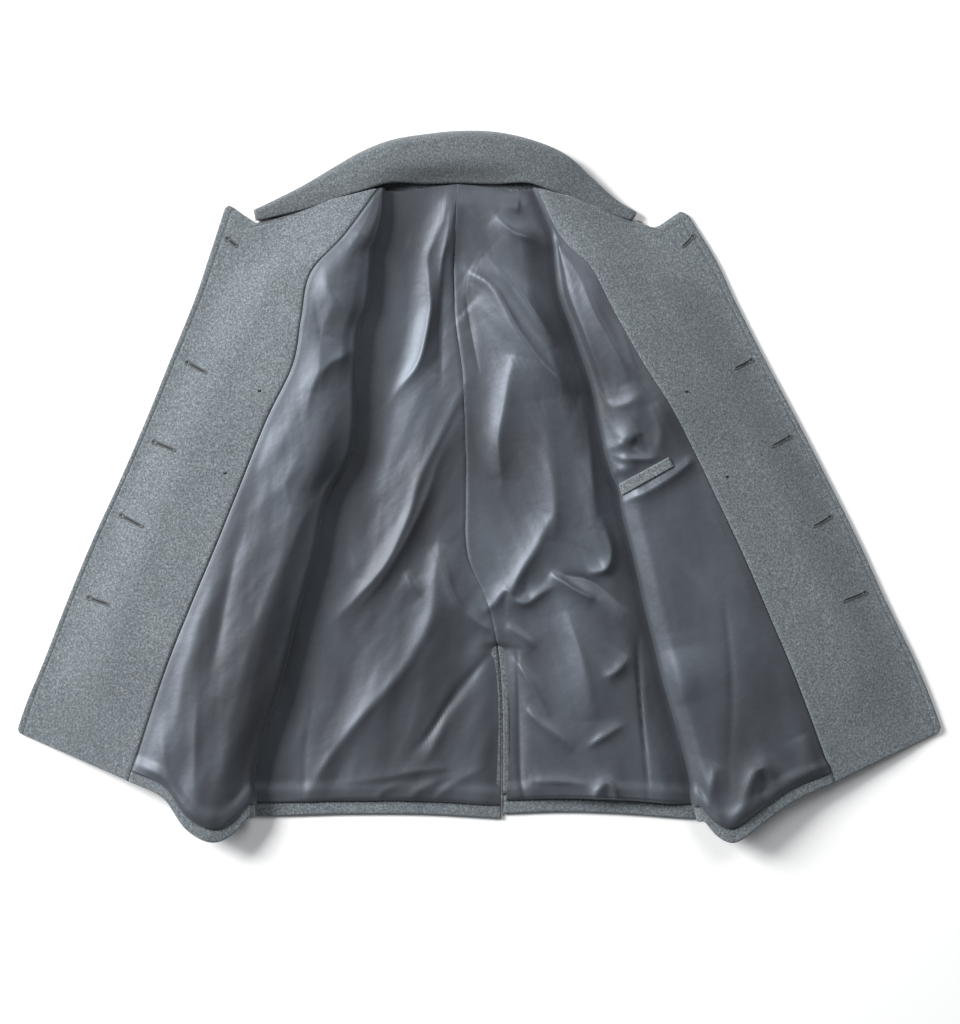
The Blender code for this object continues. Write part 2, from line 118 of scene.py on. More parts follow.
# How far a lining stands off its layer between folds, and its small waves as (height, size, seed).
FRONT_LOFT = 3.0
FRONT_DRAPES = [(1.3, 80, 31), (0.3, 26, 37)]
BACK_LOFT = 4.0
BACK_DRAPES = [(1.7, 76, 51), (0.4, 28, 57)]

# How far inside the facing's seam the front lining reaches its full height.
SEAM_EASE = {"left": 34, "right": 18}

# Where the back lining leaves the front's shadow: from here to there, inside the side fold. And how far it
# bellies out between there and the centre seam.
BACK_RISE = {"left": (26, 84), "right": (-4, 34)}
BACK_BELLY = {"left": 0.0, "right": 7.0}

# How finely the cloth is divided.
EDGE_STEPS = [0.0, 0.25, 0.8, 1.6, 2.6, 4.5, 6.4, 7.3, 8.0, 8.7, 9.6, 12.0]
SEAM_STEPS = [8.0, 5.5, 3.6, 2.2, 1.2, 0.5, 0.0]
ROW_COUNT = 290
FACING_COUNT = 44
TOP_RUN_COUNT = 50
ROLL_COUNT = 12
UNDER_COUNT = 7
VALLEY_COUNT = 8
BACK_COUNT = 108

Section = namedtuple("Section", "v edge seam centre depth roll")
Cut = namedtuple("Cut", "sizes held rests_on")
Collar = namedtuple("Collar", "neck roll_line height reach radius")
Sleeve = namedtuple("Sleeve", "x y width")
Fold = namedtuple("Fold", "height lit shade path")

# The same sections as the model's, from neck 0 to hem 1: front edge, facing seam and centre back in plan, how
# far the front lies over the back, and the radius of the ridge's roll. The ridge has its own finer table.
LEFT_SECTIONS = [Section(*row) for row in (
    (0.0, (-303, 340), (-119, 355), (-25, 361), 16, 1.6),
    (0.1, (-325, 271), (-160, 298), (-28, 301), 22, 4.5),
    (0.2, (-341, 223), (-200, 253), (-31, 262), 27, 6.5),
    (0.3, (-370, 151), (-211, 199), (-27, 193), 32, 8.0),
    (0.4, (-399, 79), (-221, 144), (-19, 133), 36, 9.0),
    (0.5, (-430, 7), (-253, 77), (-16, 67), 40, 9.0),
    (0.6, (-463, -65), (-286, -5), (-15, -5), 42, 9.0),
    (0.7, (-493, -137), (-315, -77), (-13, -83), 44, 9.5),
    (0.8, (-521, -209), (-346, -151), (14, -151), 46, 10.0),
    (0.9, (-541, -257), (-376, -228), (27, -240), 48, 10.5),
    (1.0, (-554, -295), (-417, -353), (28, -399), 50, 11.0),
)]
RIGHT_SECTIONS = [Section(*row) for row in (
    (0.0, (250, 335), (71, 355), (-25, 361), 16, 1.6),
    (0.1, (285, 274), (100, 299), (-28, 301), 20, 4.0),
    (0.2, (308, 223), (134, 259), (-31, 262), 24, 6.0),
    (0.3, (344, 151), (160, 209), (-27, 193), 28, 7.0),
    (0.4, (382, 79), (197, 143), (-19, 133), 32, 8.0),
    (0.5, (419, 7), (236, 82), (-16, 67), 36, 8.5),
    (0.6, (455, -65), (277, -1), (-15, -5), 40, 9.0),
    (0.7, (488, -137), (314, -79), (-13, -83), 42, 9.5),
    (0.8, (523, -209), (347, -155), (14, -151), 44, 10.0),
    (0.9, (543, -257), (381, -236), (27, -240), 46, 10.5),
    (1.0, (556, -293), (425, -355), (29, -393), 48, 11.0),
)]
LEFT_RIDGE = [
    (0.0, -112, 357), (0.05, -114, 325), (0.1, -120, 300), (0.15, -127, 282), (0.2, -128, 258),
    (0.27, -133, 218), (0.32, -144, 190), (0.4, -147, 139), (0.5, -149, 67), (0.55, -156, 33),
    (0.6, -177, -1), (0.64, -187, -30), (0.7, -195, -77), (0.8, -216, -151), (0.9, -238, -239),
    (0.96, -266, -330), (1.0, -268, -398),
]
RIGHT_RIDGE = [
    (0.0, 63, 358), (0.05, 76, 332), (0.1, 88, 300), (0.2, 93, 262), (0.26, 98, 230),
    (0.33, 115, 186), (0.42, 134, 128), (0.5, 145, 73), (0.55, 153, 40), (0.6, 168, -5),
    (0.65, 174, -40), (0.7, 185, -79), (0.8, 202, -155), (0.9, 225, -245), (0.96, 248, -330),
    (1.0, 262, -402),
]
LEFT_TOP = [(0.0, -303, 340), (0.2, -268, 315), (0.46, -218, 326), (0.74, -162, 343), (1.0, -119, 355)]
RIGHT_TOP = [(0.0, 250, 335), (0.2, 212, 309), (0.46, 160, 323), (0.74, 111, 340), (1.0, 71, 355)]
LEFT_LOBE = [
    (0.0, -417, -353), (0.3, -372, -374), (0.5, -344, -410), (0.68, -314, -426), (0.85, -289, -419),
    (1.0, -268, -398),
]
RIGHT_LOBE = [
    (0.0, 425, -355), (0.3, 374, -377), (0.5, 333, -405), (0.68, 302, -426), (0.85, 281, -421),
    (1.0, 262, -402),
]
NECK_CURVE = [(0.0, 0.0), (0.35, -4.0), (0.7, -1.0), (1.0, 0.0)]
HEM_CURVE = [(0.0, -8.0), (0.18, -8.0), (0.45, -2.0), (0.73, 1.5), (1.0, 0.0)]

# The collar from the left notch to the right one, and how much fuller its roll is than the model's.
COLLAR_ROLL = 1.15
SLEEVE_HALF_HEIGHT = 4.25
COLLAR = [Collar(*row) for row in (
    ((-267, 317.5), (-269, 331), 6.0, 13, 0.6),
    ((-240, 323.5), (-241, 344), 6.2, 18, 1.0),
    ((-203, 332.5), (-208, 361), 8.0, 28, 2.0),
    ((-167, 344.5), (-172, 382), 13.0, 41, 4.0),
    ((-136, 353.5), (-140, 400), 18.5, 56, 6.0),
    ((-104, 362.5), (-104, 414), 17.0, 70, 7.0),
    ((-64, 362), (-64, 421), 8.5, 78, 7.0),
    ((-25, 363), (-22, 425), 7.2, 80, 7.0),
    ((20, 362), (22, 423.5), 8.0, 78, 7.0),
    ((58, 362.5), (66, 413.5), 17.0, 68, 6.5),
    ((84, 354.5), (104, 397), 18.0, 52, 5.5),
    ((116, 342.5), (134, 371), 12.0, 34, 3.5),
    ((150, 329.8), (165, 343), 7.0, 20, 1.5),
    ((184, 318.5), (191, 327.5), 6.0, 11, 0.5),
)]
LEFT_SLEEVE = [Sleeve(*row) for row in (
    (-222, 232, 92), (-236, 186, 112), (-264, 100, 130), (-299, 0, 142),
    (-337, -100, 148), (-364, -170, 144), (-382, -222, 138),
)]
RIGHT_SLEEVE = [Sleeve(*row) for row in (
    (196, 228, 86), (213, 182, 108), (248, 100, 126), (287, 0, 140),
    (327, -100, 148), (356, -170, 144), (376, -222, 138),
)]

# Folds of the satin, in millimetres: the height of the crest (a trough's is negative), how wide its slope is
# on the side of the window light and on the far side, and the points that its crest passes.
BACK_FOLDS = [Fold(*row) for row in (
    (-2.6, 2, 2, [(-202, -181), (-201, -259), (-207, -308), (-214, -382)]),
    (-2.6, 2, 2, [(190, -181), (190, -215), (197, -294), (202, -379)]),
    (-1.4, 1.8, 1.8, [(-14, 225), (-8, 190), (1, 137)]),
    (8, 12, 9, [(-30, 366), (-45, 318), (-63, 274), (-60, 238), (-58, 206), (-73, 149), (-98, 115),
        (-121, 80), (-140, 35)]),
    (4, 8, 7, [(-24, 360), (-36, 306), (-45, 268), (-47, 226)]),
    (6, 9, 6, [(-124, 298), (-102, 302), (-87, 298), (-88, 283), (-102, 270), (-122, 259)]),
    (4, 7, 7, [(-106, 354), (-103, 336), (-107, 318)]),
    (-7, 13, 13, [(-92, 296), (-90, 262), (-90, 225), (-100, 180), (-116, 132), (-134, 82)]),
    (-5, 8, 9, [(-42, 272), (-44, 220), (-46, 165), (-47, 112)]),
    (8, 13, 7, [(-19, 120), (-40, 66), (-67, 10), (-84, -44), (-110, -97), (-149, -138), (-182, -168)]),
    (5, 7, 8, [(-18, 88), (-44, 30), (-62, -18), (-84, -66), (-114, -114), (-150, -152)]),
    (5, 26, 26, [(-62, 140), (-96, 60), (-122, -20)]),
    (5, 17, 9, [(-186, -36), (-166, -62), (-150, -88), (-152, -112)]),
    (8, 15, 11, [(-44, -72), (-50, -118), (-55, -160), (-84, -214), (-136, -272), (-178, -326),
        (-208, -372)]),
    (7, 11, 8, [(-44, -72), (-37, -106), (-26, -138), (-6, -160), (16, -174)]),
    (4, 8, 5, [(-84, -104), (-78, -120), (-66, -132)]),
    (-4, 2.4, 4.5, [(26, -190), (-6, -221), (-32, -253), (-55, -288), (-74, -314)]),
    (1.2, 8, 10, [(20, -206), (-2, -233), (-28, -266), (-50, -302), (-68, -332)]),
    (2, 8, 6, [(-36, -274), (-50, -305), (-64, -335)]),
    (3.5, 9, 4, [(-170, -354), (-112, -348), (-72, -341), (-36, -338)]),
    (2.5, 6, 5, [(-128, -384), (-112, -364), (-84, -352)]),
    (2.5, 6, 5, [(-88, -384), (-66, -362), (-30, -346)]),
    (2.5, 5, 5, [(-58, -384), (-32, -358), (6, -336)]),
    (12, 19, 11, [(-14, 256), (14, 240), (31, 214), (46, 186), (71, 150), (97, 126), (124, 112)]),
    (4, 10, 12, [(8, 276), (40, 244), (70, 202), (94, 166)]),
    (5, 10, 7, [(22, 322), (44, 302), (66, 294), (92, 282)]),
    (6, 9, 16, [(44, 156), (33, 112), (25, 62), (30, 8)]),
    (5, 18, 14, [(76, 104), (84, 44), (92, -20), (88, -66)]),
    (5, 14, 10, [(122, 110), (130, 52), (135, 0), (142, -52)]),
    (6, 11, 8, [(88, -36), (68, -74), (50, -104), (38, -132)]),
    (5, 7, 5, [(6, -152), (20, -142), (33, -127), (44, -140), (58, -141), (74, -129), (86, -122)]),
    (6, 9, 4, [(84, -104), (98, -114), (116, -126), (138, -138)]),
    (-4, 5, 5, [(98, -106), (130, -112), (152, -128), (176, -152)]),
    (6, 11, 4, [(146, -36), (160, -72), (154, -98), (130, -106)]),
    (3, 6, 5, [(34, -166), (52, -182), (68, -197)]),
    (4, 8, 5, [(36, -204), (52, -225), (68, -248), (84, -280)]),
    (4, 7, 7, [(54, -268), (80, -291), (114, -314)]),
    (3, 3.5, 3, [(130, -310), (150, -297), (173, -284)]),
    (3, 6, 4, [(58, -353), (94, -352), (130, -355)]),
    (4, 5, 5, [(138, -388), (142, -366), (152, -352), (162, -362), (166, -382)]),
    (5, 16, 12, [(104, -150), (120, -196), (132, -240), (136, -280)]),
    (3, 4, 3, [(54, 362), (50, 342), (49, 326)]),
    (3, 4, 3, [(64, 360), (62, 344), (60, 332)]),
    (-2.5, 3, 3, [(43, -200), (44, -250), (45, -300), (48, -350), (58, -380)]),
    (4, 8, 6, [(178, -206), (166, -222), (150, -232)]),
    (5, 10, 10, [(-206, -250), (-214, -300), (-240, -345)]),
)]
LEFT_FOLDS = [Fold(*row) for row in (
    (5, 7, 5, [(-172, 298), (-154, 304), (-136, 296)]),
    (8, 13, 10, [(-188, 268), (-182, 238), (-162, 208), (-150, 182), (-158, 162), (-182, 146), (-197, 118),
        (-206, 80)]),
    (-4, 9, 9, [(-196, 222), (-192, 196), (-186, 172)]),
    (7, 36, 15, [(-196, 112), (-186, 70), (-190, 30), (-208, -10)]),
    (-5, 6, 5, [(-156, 40), (-170, 22), (-186, 4), (-194, -14)]),
    (8, 13, 15, [(-190, -10), (-219, -50), (-246, -122), (-262, -170), (-277, -214), (-293, -284),
        (-310, -374)]),
    (-6, 12, 12, [(-262, 30), (-283, -46), (-297, -120), (-312, -190), (-322, -250)]),
    (4, 10, 12, [(-290, -20), (-312, -92), (-334, -160), (-350, -228), (-356, -280)]),
    (4, 8, 9, [(-330, -250), (-334, -300), (-336, -352), (-334, -384)]),
    (4, 7, 9, [(-378, -270), (-374, -310), (-366, -346)]),
    (3, 9, 9, [(-240, 70), (-250, 40), (-262, 10)]),
    (3, 8, 6, [(-214, 30), (-228, 2), (-226, -24)]),
)]
RIGHT_FOLDS = [Fold(*row) for row in (
    (4, 6, 5, [(84, 318), (92, 300), (104, 286)]),
    (6, 15, 12, [(100, 282), (112, 252), (122, 214), (134, 172), (146, 132), (156, 102)]),
    (5, 13, 9, [(132, 246), (144, 212), (158, 178), (172, 146), (180, 122)]),
    (2.5, 9, 12, [(146, 106), (164, 96), (182, 100), (196, 112)]),
    (4, 13, 13, [(204, 98), (214, 74), (214, 52), (206, 38)]),
    (5, 9, 6, [(150, 44), (168, 50), (184, 62), (192, 66)]),
    (-2.5, 5, 5, [(186, 66), (184, 54), (180, 46)]),
    (4, 6, 4, [(152, 40), (172, 34), (196, 33), (214, 37)]),
    (3.5, 6, 5, [(156, 36), (164, 26), (174, 22), (182, 14)]),
    (4, 4, 4, [(160, 14), (168, 20), (176, 14)]),
    (6, 4, 6, [(170, -20), (200, -3), (233, 17), (262, 37)]),
    (3, 12, 26, [(186, -50), (200, -120), (214, -180)]),
    (-2, 3, 3, [(294, -134), (299, -190), (300, -260), (296, -372)]),
    (5, 12, 16, [(232, -196), (240, -230), (244, -262)]),
    (8, 10, 9, [(296, -402), (312, -380), (322, -352), (332, -336), (346, -342), (352, -358)]),
    (4, 6, 8, [(284, -330), (276, -356), (274, -384)]),
    (4, 12, 14, [(380, -300), (392, -330), (400, -350)]),
)]

# The camera looks straight down; the plan point below it, its distance and the height of its view, in metres.
CAMERA_PLAN = (0.0008, -0.0337)
CAMERA_DISTANCE = 4.0
CAMERA_VIEW_HEIGHT = 1.2288
SENSOR_HEIGHT = 24.0
FLOOR_HALF_SIDE = 6.0

# Buttonholes, each from its keyhole end near the edge inwards, and the thread ends of the buttons.
BUTTONHOLES = {
    "left": [((-303, 298), (-289, 287)), ((-351, 149), (-325, 135)), ((-391, 54), (-362, 42)),
             ((-430, -34), (-401, -49)), ((-469, -133), (-441, -142))],
    "right": [((259, 301), (244, 286)), ((329, 152), (306, 140)), ((374, 60), (350, 47)),
              ((423, -36), (400, -49)), ((465, -127), (435, -138))],
}
THREAD_ENDS = {"left": [(-261, 113), (-302, 15)], "right": [(247, 112), (296, 11)]}
WELT_UPPER = ((167, 2), (226, 34))
WELT_LOWER = ((171, -12), (233, 23))

# The cut of what shows of each piece: the width, length and area in metres of its left and its right one, how
# it is held, and what it lies on.
CUTS = {
    "front_shell_{}": Cut([(0.40, 0.79, 0.216), (0.40, 0.79, 0.216)], "folded",
                          ["floor", "cloth_sleeve_{}", "cloth_back_shell_{}"]),
    "back_shell_{}": Cut([(0.34, 0.77, 0.160), (0.33, 0.77, 0.151)], "laid", ["floor"]),
    "facing_{}": Cut([(0.20, 0.71, 0.102), (0.20, 0.71, 0.103)], "laid", ["cloth_front_shell_{}"]),
    "front_lining_{}": Cut([(0.24, 0.78, 0.117), (0.24, 0.78, 0.116)], "folded", ["cloth_front_shell_{}"]),
    "back_lining_{}": Cut([(0.34, 0.75, 0.156), (0.33, 0.75, 0.150)], "laid", ["cloth_back_shell_{}"]),
    "hem_front_{}": Cut([(0.028, 0.25, 0.0056), (0.028, 0.25, 0.0056)], "laid", ["cloth_front_shell_{}"]),
    "hem_back_{}": Cut([(0.030, 0.34, 0.0087), (0.030, 0.29, 0.0065)], "laid", ["cloth_back_shell_{}"]),
    "vent_facing_{}": Cut([(0.010, 0.18, 0.0016), (0.010, 0.18, 0.0016)], "laid", ["cloth_back_shell_{}"]),
    "under_collar": Cut([(0.17, 0.50, 0.047)], "folded", ["floor"]),
    "upper_collar": Cut([(0.18, 0.51, 0.051)], "folded", ["cloth_under_collar"]),
    "pocket_welt": Cut([(0.016, 0.069, 0.00106)], "laid", ["cloth_front_lining_right"]),
    "sleeve_{}": Cut([(0.31, 0.49, 0.130), (0.31, 0.49, 0.129)], "laid", ["floor"]),
}


# ---- curves and fields -----------------------------------------------------------------------------

def smoothstep(low, high, value):
    t = np.clip((np.asarray(value, float) - low) / (high - low), 0, 1)
    return t * t * (3 - 2 * t)


def through(keys, values, at):
    """A smooth curve through (key, value) pairs, read at many places."""
    keys, values, at = (np.asarray(a, float) for a in (keys, values, at))
    values = values.reshape(len(keys), -1)
    last = len(keys) - 1
    low, high = np.clip(np.arange(last + 1) - 1, 0, last), np.clip(np.arange(last + 1) + 1, 0, last)
    slopes = (values[high] - values[low]) / (keys[high] - keys[low])[:, None]
    i = np.clip(np.searchsorted(keys, at, side="right") - 1, 0, last - 1)
    width = (keys[i + 1] - keys[i])[:, None]
    t = np.clip((at - keys[i])[:, None] / width, 0, 1)
    return (
        values[i] * (2 * t**3 - 3 * t**2 + 1)
        + slopes[i] * width * (t**3 - 2 * t**2 + t)
        + values[i + 1] * (3 * t**2 - 2 * t**3)
        + slopes[i + 1] * width * (t**3 - t**2)
    )


def unit(vectors):
    return vectors / np.maximum(np.linalg.norm(vectors, axis=-1, keepdims=True), 1e-9)


def rounded(distance, radius):
    """How far a round edge has risen, 0 at the edge and 1 from the radius inwards."""
    return np.sqrt(1 - (1 - np.clip(distance / radius, 0, 1)) ** 2)


def fold_field(folds, x, y):
    """The height of all the folds at plan points, each a soft crest with its own slopes."""
    drift = np.stack([ripples(x, y, 70, 21), ripples(x, y, 70, 22)], axis=-1)
    points = np.stack([x, y], axis=-1).reshape(-1, 2) + FOLD_DRIFT * drift.reshape(-1, 2)
    total = np.zeros(len(points))
    for fold in folds:
        count = 18 * len(fold.path)
        line = through(np.arange(len(fold.path)), fold.path, np.linspace(0, len(fold.path) - 1, count))
        tangents = unit(np.gradient(line, axis=0))
        reach = 5 * max(fold.lit, fold.shade)
        near = np.all((points > line.min(0) - reach) & (points < line.max(0) + reach), axis=1)
        local = points[near]
        if not len(local):
            continue
        offset = local[:, None, :] - line[None, :, :]
        nearest = np.argmin((offset**2).sum(-1), axis=1)
        offset = offset[np.arange(len(local)), nearest]
        tangent = tangents[nearest]
        across = tangent[:, 0] * offset[:, 1] - tangent[:, 1] * offset[:, 0]
        along = (tangent * offset).sum(-1) * ((nearest == 0) | (nearest == count - 1))
        direction = unit(line[-1] - line[0])
        lit_side = np.sign(direction[0] * TOWARDS_LIGHT[1] - direction[1] * TOWARDS_LIGHT[0])
        share = nearest / (count - 1)
        spread = 1.0 + 0.3 * np.sin(5 * share + line[0, 0])
        width = FOLD_WIDTH * spread * np.where(across * lit_side > 0, fold.lit, fold.shade)
        taper = np.sin(math.pi * (0.03 + 0.94 * share)) ** 0.8
        distance = (across / width) ** 2 + (along / (0.5 * (fold.lit + fold.shade))) ** 2
        profile = sum(part * np.exp(-distance / wide) for part, wide in FOLD_PROFILE)
        total[near] += FOLD_HEIGHT * fold.height * taper * profile
    return total.reshape(x.shape)


def ripples(x, y, size, seed):
    """A slow, uneven field between about -1 and 1, the same each run."""
    draw = np.random.default_rng(seed)
    total = np.zeros_like(x)
    for _ in range(9):
        angle, phase = draw.uniform(0, 2 * math.pi, 2)
        length = size * draw.uniform(0.6, 1.9)
        bend = 0.6 * np.sin((x * math.sin(angle) - y * math.cos(angle)) / (1.7 * length) + phase)
        total += np.sin((x * math.cos(angle) + y * math.sin(angle)) / length * 2 + phase + bend)
    return total / 4.5


def drape(x, y, heading, length, seed):
    """Uneven waves of cloth that run along a heading in degrees, between about -1 and 1, patchy and bent."""
    draw = np.random.default_rng(seed)
    bend = ripples(x, y, 2.2 * length, seed + 1)
    total = np.zeros_like(x)
    for k in range(6):
        angle = math.radians(heading + 90 + draw.uniform(-24, 24))
        size = length * draw.uniform(0.7, 1.7)
        patch = 0.5 + 0.5 * ripples(x, y, 1.6 * length, seed + 2 + k)
        phase = draw.uniform(0, 2 * math.pi)
        wave = np.sin(2 * math.pi * (x * math.cos(angle) + y * math.sin(angle)) / size + phase + 1.7 * bend)
        total += np.clip(patch, 0, None) * (0.75 * wave + 0.25 * (1 - 2 * np.abs(wave) ** 0.7))
    return total / 2.4


def at_least_zero(height):
    """A height whose dips below zero are softly levelled."""
    return 0.5 * (height + np.sqrt(height**2 + 0.8)) - 0.1


# ---- the reference surface of a half ---------------------------------------------------------------

def run_length(points):
    """The length along a line of points, up to each of them."""
    return np.concatenate([[0], np.cumsum(np.linalg.norm(np.diff(points, axis=0), axis=1))])


def curve(table, at):
    """A smooth curve through rows that start with their key, read at many places."""
    return through([row[0] for row in table], [row[1:] for row in table], at)


def on_sections(sections, columns, at):
    """Columns of a section table, read along the half."""
    keys = [section.v for section in sections]
    return [through(keys, [getattr(section, column) for section in sections], at) for column in columns]


def row_places(sections):
    """Where the rows lie along a half: close together near the neck and the hem, even between them."""
    steps = np.array(EDGE_STEPS)
    even = np.linspace(0, 1, 1001)
    lines = on_sections(sections, ("seam", "centre"), even)
    length = sum(np.linalg.norm(np.diff(line, axis=0), axis=1) for line in lines) / 2
    length = np.concatenate([[0], np.cumsum(length)])
    inner = np.linspace(steps[-1], length[-1] - steps[-1], ROW_COUNT)[1:-1]
    return np.interp(np.concatenate([steps, inner, length[-1] - steps[::-1]]), length, even)


def corner_inset(radius, distance):
    """How far a rounded corner draws an edge in, at a distance along the edge from the corner."""
    return radius - np.sqrt(radius**2 - np.clip(radius - distance, 0, radius) ** 2)


def with_height(plan, height):
    return np.concatenate([plan, np.broadcast_to(height[..., None], (*plan.shape[:2], 1))], axis=2)


class Half:
    """One half of the coat: its reference surface, finely divided, with distances along it."""

    def __init__(self, name, sections, ridge, top, lobe, turn, corner, lapel, heading, back_heading):
        self.name = name
        self.turn = turn
        self.heading = heading
        self.back_heading = back_heading
        self.v = row_places(sections)
        columns = ("edge", "seam", "centre", "depth", "roll")
        self.edge, self.seam, self.centre, self.depth, roll = on_sections(sections, columns, self.v)
        ridge = curve(ridge, self.v)
        self.outward = unit(self.seam - ridge)
        self.lift = (NECK_LIFT * (1 - smoothstep(0, NECK_LIFT_SHARE, self.v)))[:, None]
        self.low = STACK + self.lift
        self.crest = curve(CREST_INSET[name], self.v) * np.clip(roll / FULL_ROLL, 0, 1)
        self.roll = roll * ROLL_SHARE
        self.roll_centre = ridge + self.outward * (self.roll + LAYERS)
        self.roll_start = self.roll_centre - self.outward * self.roll * math.cos(ROLL_START)
        self.valley_centre = ridge + self.outward * (self.depth - VALLEY_RADIUS)
        self.assemble(self.facing_plan(top, corner, lapel), lobe)

    def assemble(self, facing, lobe):
        """The whole surface, its normals, where its stretches end, and how far each point is from the hem."""
        flat = np.concatenate([facing, self.top_run_plan(facing[:, -1], lobe)], axis=1)
        front = with_height(flat, self.front_height(flat))
        back = self.back()
        self.grid = np.concatenate([front, *self.under(), back], axis=1)
        down, across = np.gradient(self.grid, axis=0), np.gradient(self.grid, axis=1)
        self.normals = unit(np.cross(down, across)) * self.turn
        count = facing.shape[1]
        self.normals[:, :count, 2] = np.abs(self.normals[:, :count, 2])
        ends = np.cumsum([count, TOP_RUN_COUNT, ROLL_COUNT, UNDER_COUNT, VALLEY_COUNT, back.shape[1]])
        self.facing_end, self.top_end, self.roll_end, _, self.front_end, self.all = ends
        self.back_columns = slice(self.front_end - 1, self.all)
        self.inward = unit(self.grid[:, -8] - self.grid[:, -1])[:, None]
        down = np.linalg.norm(np.diff(self.grid, axis=0), axis=2)[::-1].cumsum(axis=0)[::-1]
        self.from_hem = np.concatenate([down, np.zeros((1, self.all))])

    def facing_plan(self, top, corner, lapel):
        """The facing in plan, its corners rounded and its top edge on the lapel's outline."""
        self.from_top = run_length(self.edge)
        from_hem = self.from_top[-1] - self.from_top
        inset = (corner_inset(corner, from_hem) + corner_inset(lapel, self.from_top))[:, None]
        span = np.linalg.norm(self.seam - self.edge, axis=1, keepdims=True)
        steps = np.array(EDGE_STEPS)
        inner = (span - inset - steps[-1]) * np.linspace(0, 1, FACING_COUNT + 1)[1:]
        from_edge = np.concatenate([inset + steps * np.ones_like(span), inset + steps[-1] + inner], axis=1)
        self.from_edge = from_edge - inset
        self.from_seam = span - from_edge
        u = from_edge / span
        first, last = np.array(top[0][1:]), np.array(top[-1][1:])
        straight = first + np.outer(u[0], last - first)
        keys = [row[0] for row in top]
        outline = np.stack([np.interp(u[0], keys, [row[k] for row in top]) for k in (1, 2)], axis=-1)
        facing = self.edge[:, None] + (self.seam - self.edge)[:, None] * u[..., None]
        return facing + (outline - straight)[None] * ((1 - self.v) ** 6)[:, None, None]

    def top_run_plan(self, seam, lobe):
        """The front lining in plan, from the facing's seam to where the roll starts, with the hem's lobe."""
        t = np.linspace(0, 1, TOP_RUN_COUNT + 1)[1:]
        first, last = np.array(lobe[0][1:]), np.array(lobe[-1][1:])
        swing = curve(lobe, t) - (first + np.outer(t, last - first))
        straight = seam[:, None] + (self.roll_start - seam)[:, None] * t[:, None]
        return straight + swing[None] * (smoothstep(HEM_CURVE_START, 1, self.v) ** 2)[:, None, None]

    def front_height(self, flat):
        """How the front rises from its edge over the sleeve to its crest, and falls to the roll."""
        width = np.linalg.norm(self.roll_start - self.edge, axis=1, keepdims=True)
        s = np.minimum(np.linalg.norm(flat - self.edge[:, None], axis=2), width)
        share = 1 - (1 - HEM_PLATEAU_SHARE) * smoothstep(HEM_FALL_START, 1, self.v)
        share = share * smoothstep(0, LAPEL_FLAT_SHARE, self.v)
        roll_top = self.low + self.roll * (1 + math.sin(ROLL_START))
        peak = roll_top + self.crest * CREST_DROP[self.name]
        plateau = np.minimum(PLATEAU * share[:, None], peak)
        rising = np.clip((s - SECOND_RISE) / (width - self.crest - SECOND_RISE), 0, 1)
        falling = np.clip((s - width + self.crest) / np.maximum(self.crest, 1e-6), 0, 1)
        height = plateau * smoothstep(FLAT_EDGE, SHOULDER_OF_RISE, s)
        height += (peak - plateau) * rising**2 * (3 - 2 * rising) - (peak - roll_top) * falling**CREST_FALL
        tall, size, seed = FRONT_WAVES
        waves = tall * (1 + ripples(flat[..., 0], flat[..., 1], size, seed))
        return height + waves * smoothstep(10, 70, s) * smoothstep(0, 60, width - s)

    def bend(self, axis, height, radius, side, angles):
        """The cloth's path round a level axis at a height."""
        plan = axis[:, None] + side * self.outward[:, None] * (radius * np.cos(angles))[..., None]
        return with_height(plan, height + radius * np.sin(angles))

    def under(self):
        """Round the ridge's roll, back under the front, and round the side fold."""
        half_turn = np.linspace(ROLL_START, -math.pi / 2, ROLL_COUNT + 1)[1:]
        around_roll = self.bend(self.roll_centre, self.low + self.roll, self.roll, -1, half_turn)
        t = np.linspace(0, 1, UNDER_COUNT + 1)[1:]
        plan = self.roll_centre[:, None] + (self.valley_centre - self.roll_centre)[:, None] * t[:, None]
        half_turn = np.linspace(math.pi / 2, -math.pi / 2, VALLEY_COUNT + 1)[1:]
        radius = np.full_like(self.roll, VALLEY_RADIUS)
        around_valley = self.bend(self.valley_centre, self.lift + VALLEY_RADIUS, radius, 1, half_turn)
        return around_roll, with_height(plan, self.low), around_valley

    def back(self):
        """The back from the side fold to the centre seam, where its columns lie close together."""
        width = np.linalg.norm(self.centre - self.valley_centre, axis=1, keepdims=True)
        even = np.linspace(0, 1, BACK_COUNT - 6)[1:-1]
        t = np.concatenate([(1 - SEAM_STEPS[0] / width) * even, 1 - np.array(SEAM_STEPS) / width], axis=1)
        plan = self.valley_centre[:, None] + (self.centre - self.valley_centre)[:, None] * t[..., None]
        at_hem = smoothstep(HEM_CURVE_START, 1, self.v) ** 2
        for table, share in ((NECK_CURVE, (1 - self.v) ** 6), (HEM_CURVE, at_hem)):
            plan[..., 1] += curve(table, t.ravel()).reshape(t.shape) * share[:, None]
        from_centre = (1 - t) * width
        self.from_centre = np.concatenate([from_centre[:, :1], from_centre], axis=1)
        self.from_valley = np.concatenate([np.zeros_like(width), t * width], axis=1)
        return with_height(plan, self.lift)

    def surface(self, columns, offset):
        """Points moved out from the reference surface by an offset that may differ at each."""
        return self.grid[:, columns] + self.normals[:, columns] * np.asarray(offset, float)[..., None]


# ---- making meshes ---------------------------------------------------------------------------------

def placed(points):
    return (np.asarray(points, float) - PLAN_CENTRE) * MM


def mesh_object(name, points, faces, material):
    mesh = bpy.data.meshes.new(name)
    mesh.from_pydata(placed(points).tolist(), [], faces)
    mesh.materials.append(material)
    mesh.shade_smooth()
    obj = bpy.data.objects.new(name, mesh)
    bpy.context.scene.collection.objects.link(obj)
    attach(obj, "root")
    return obj


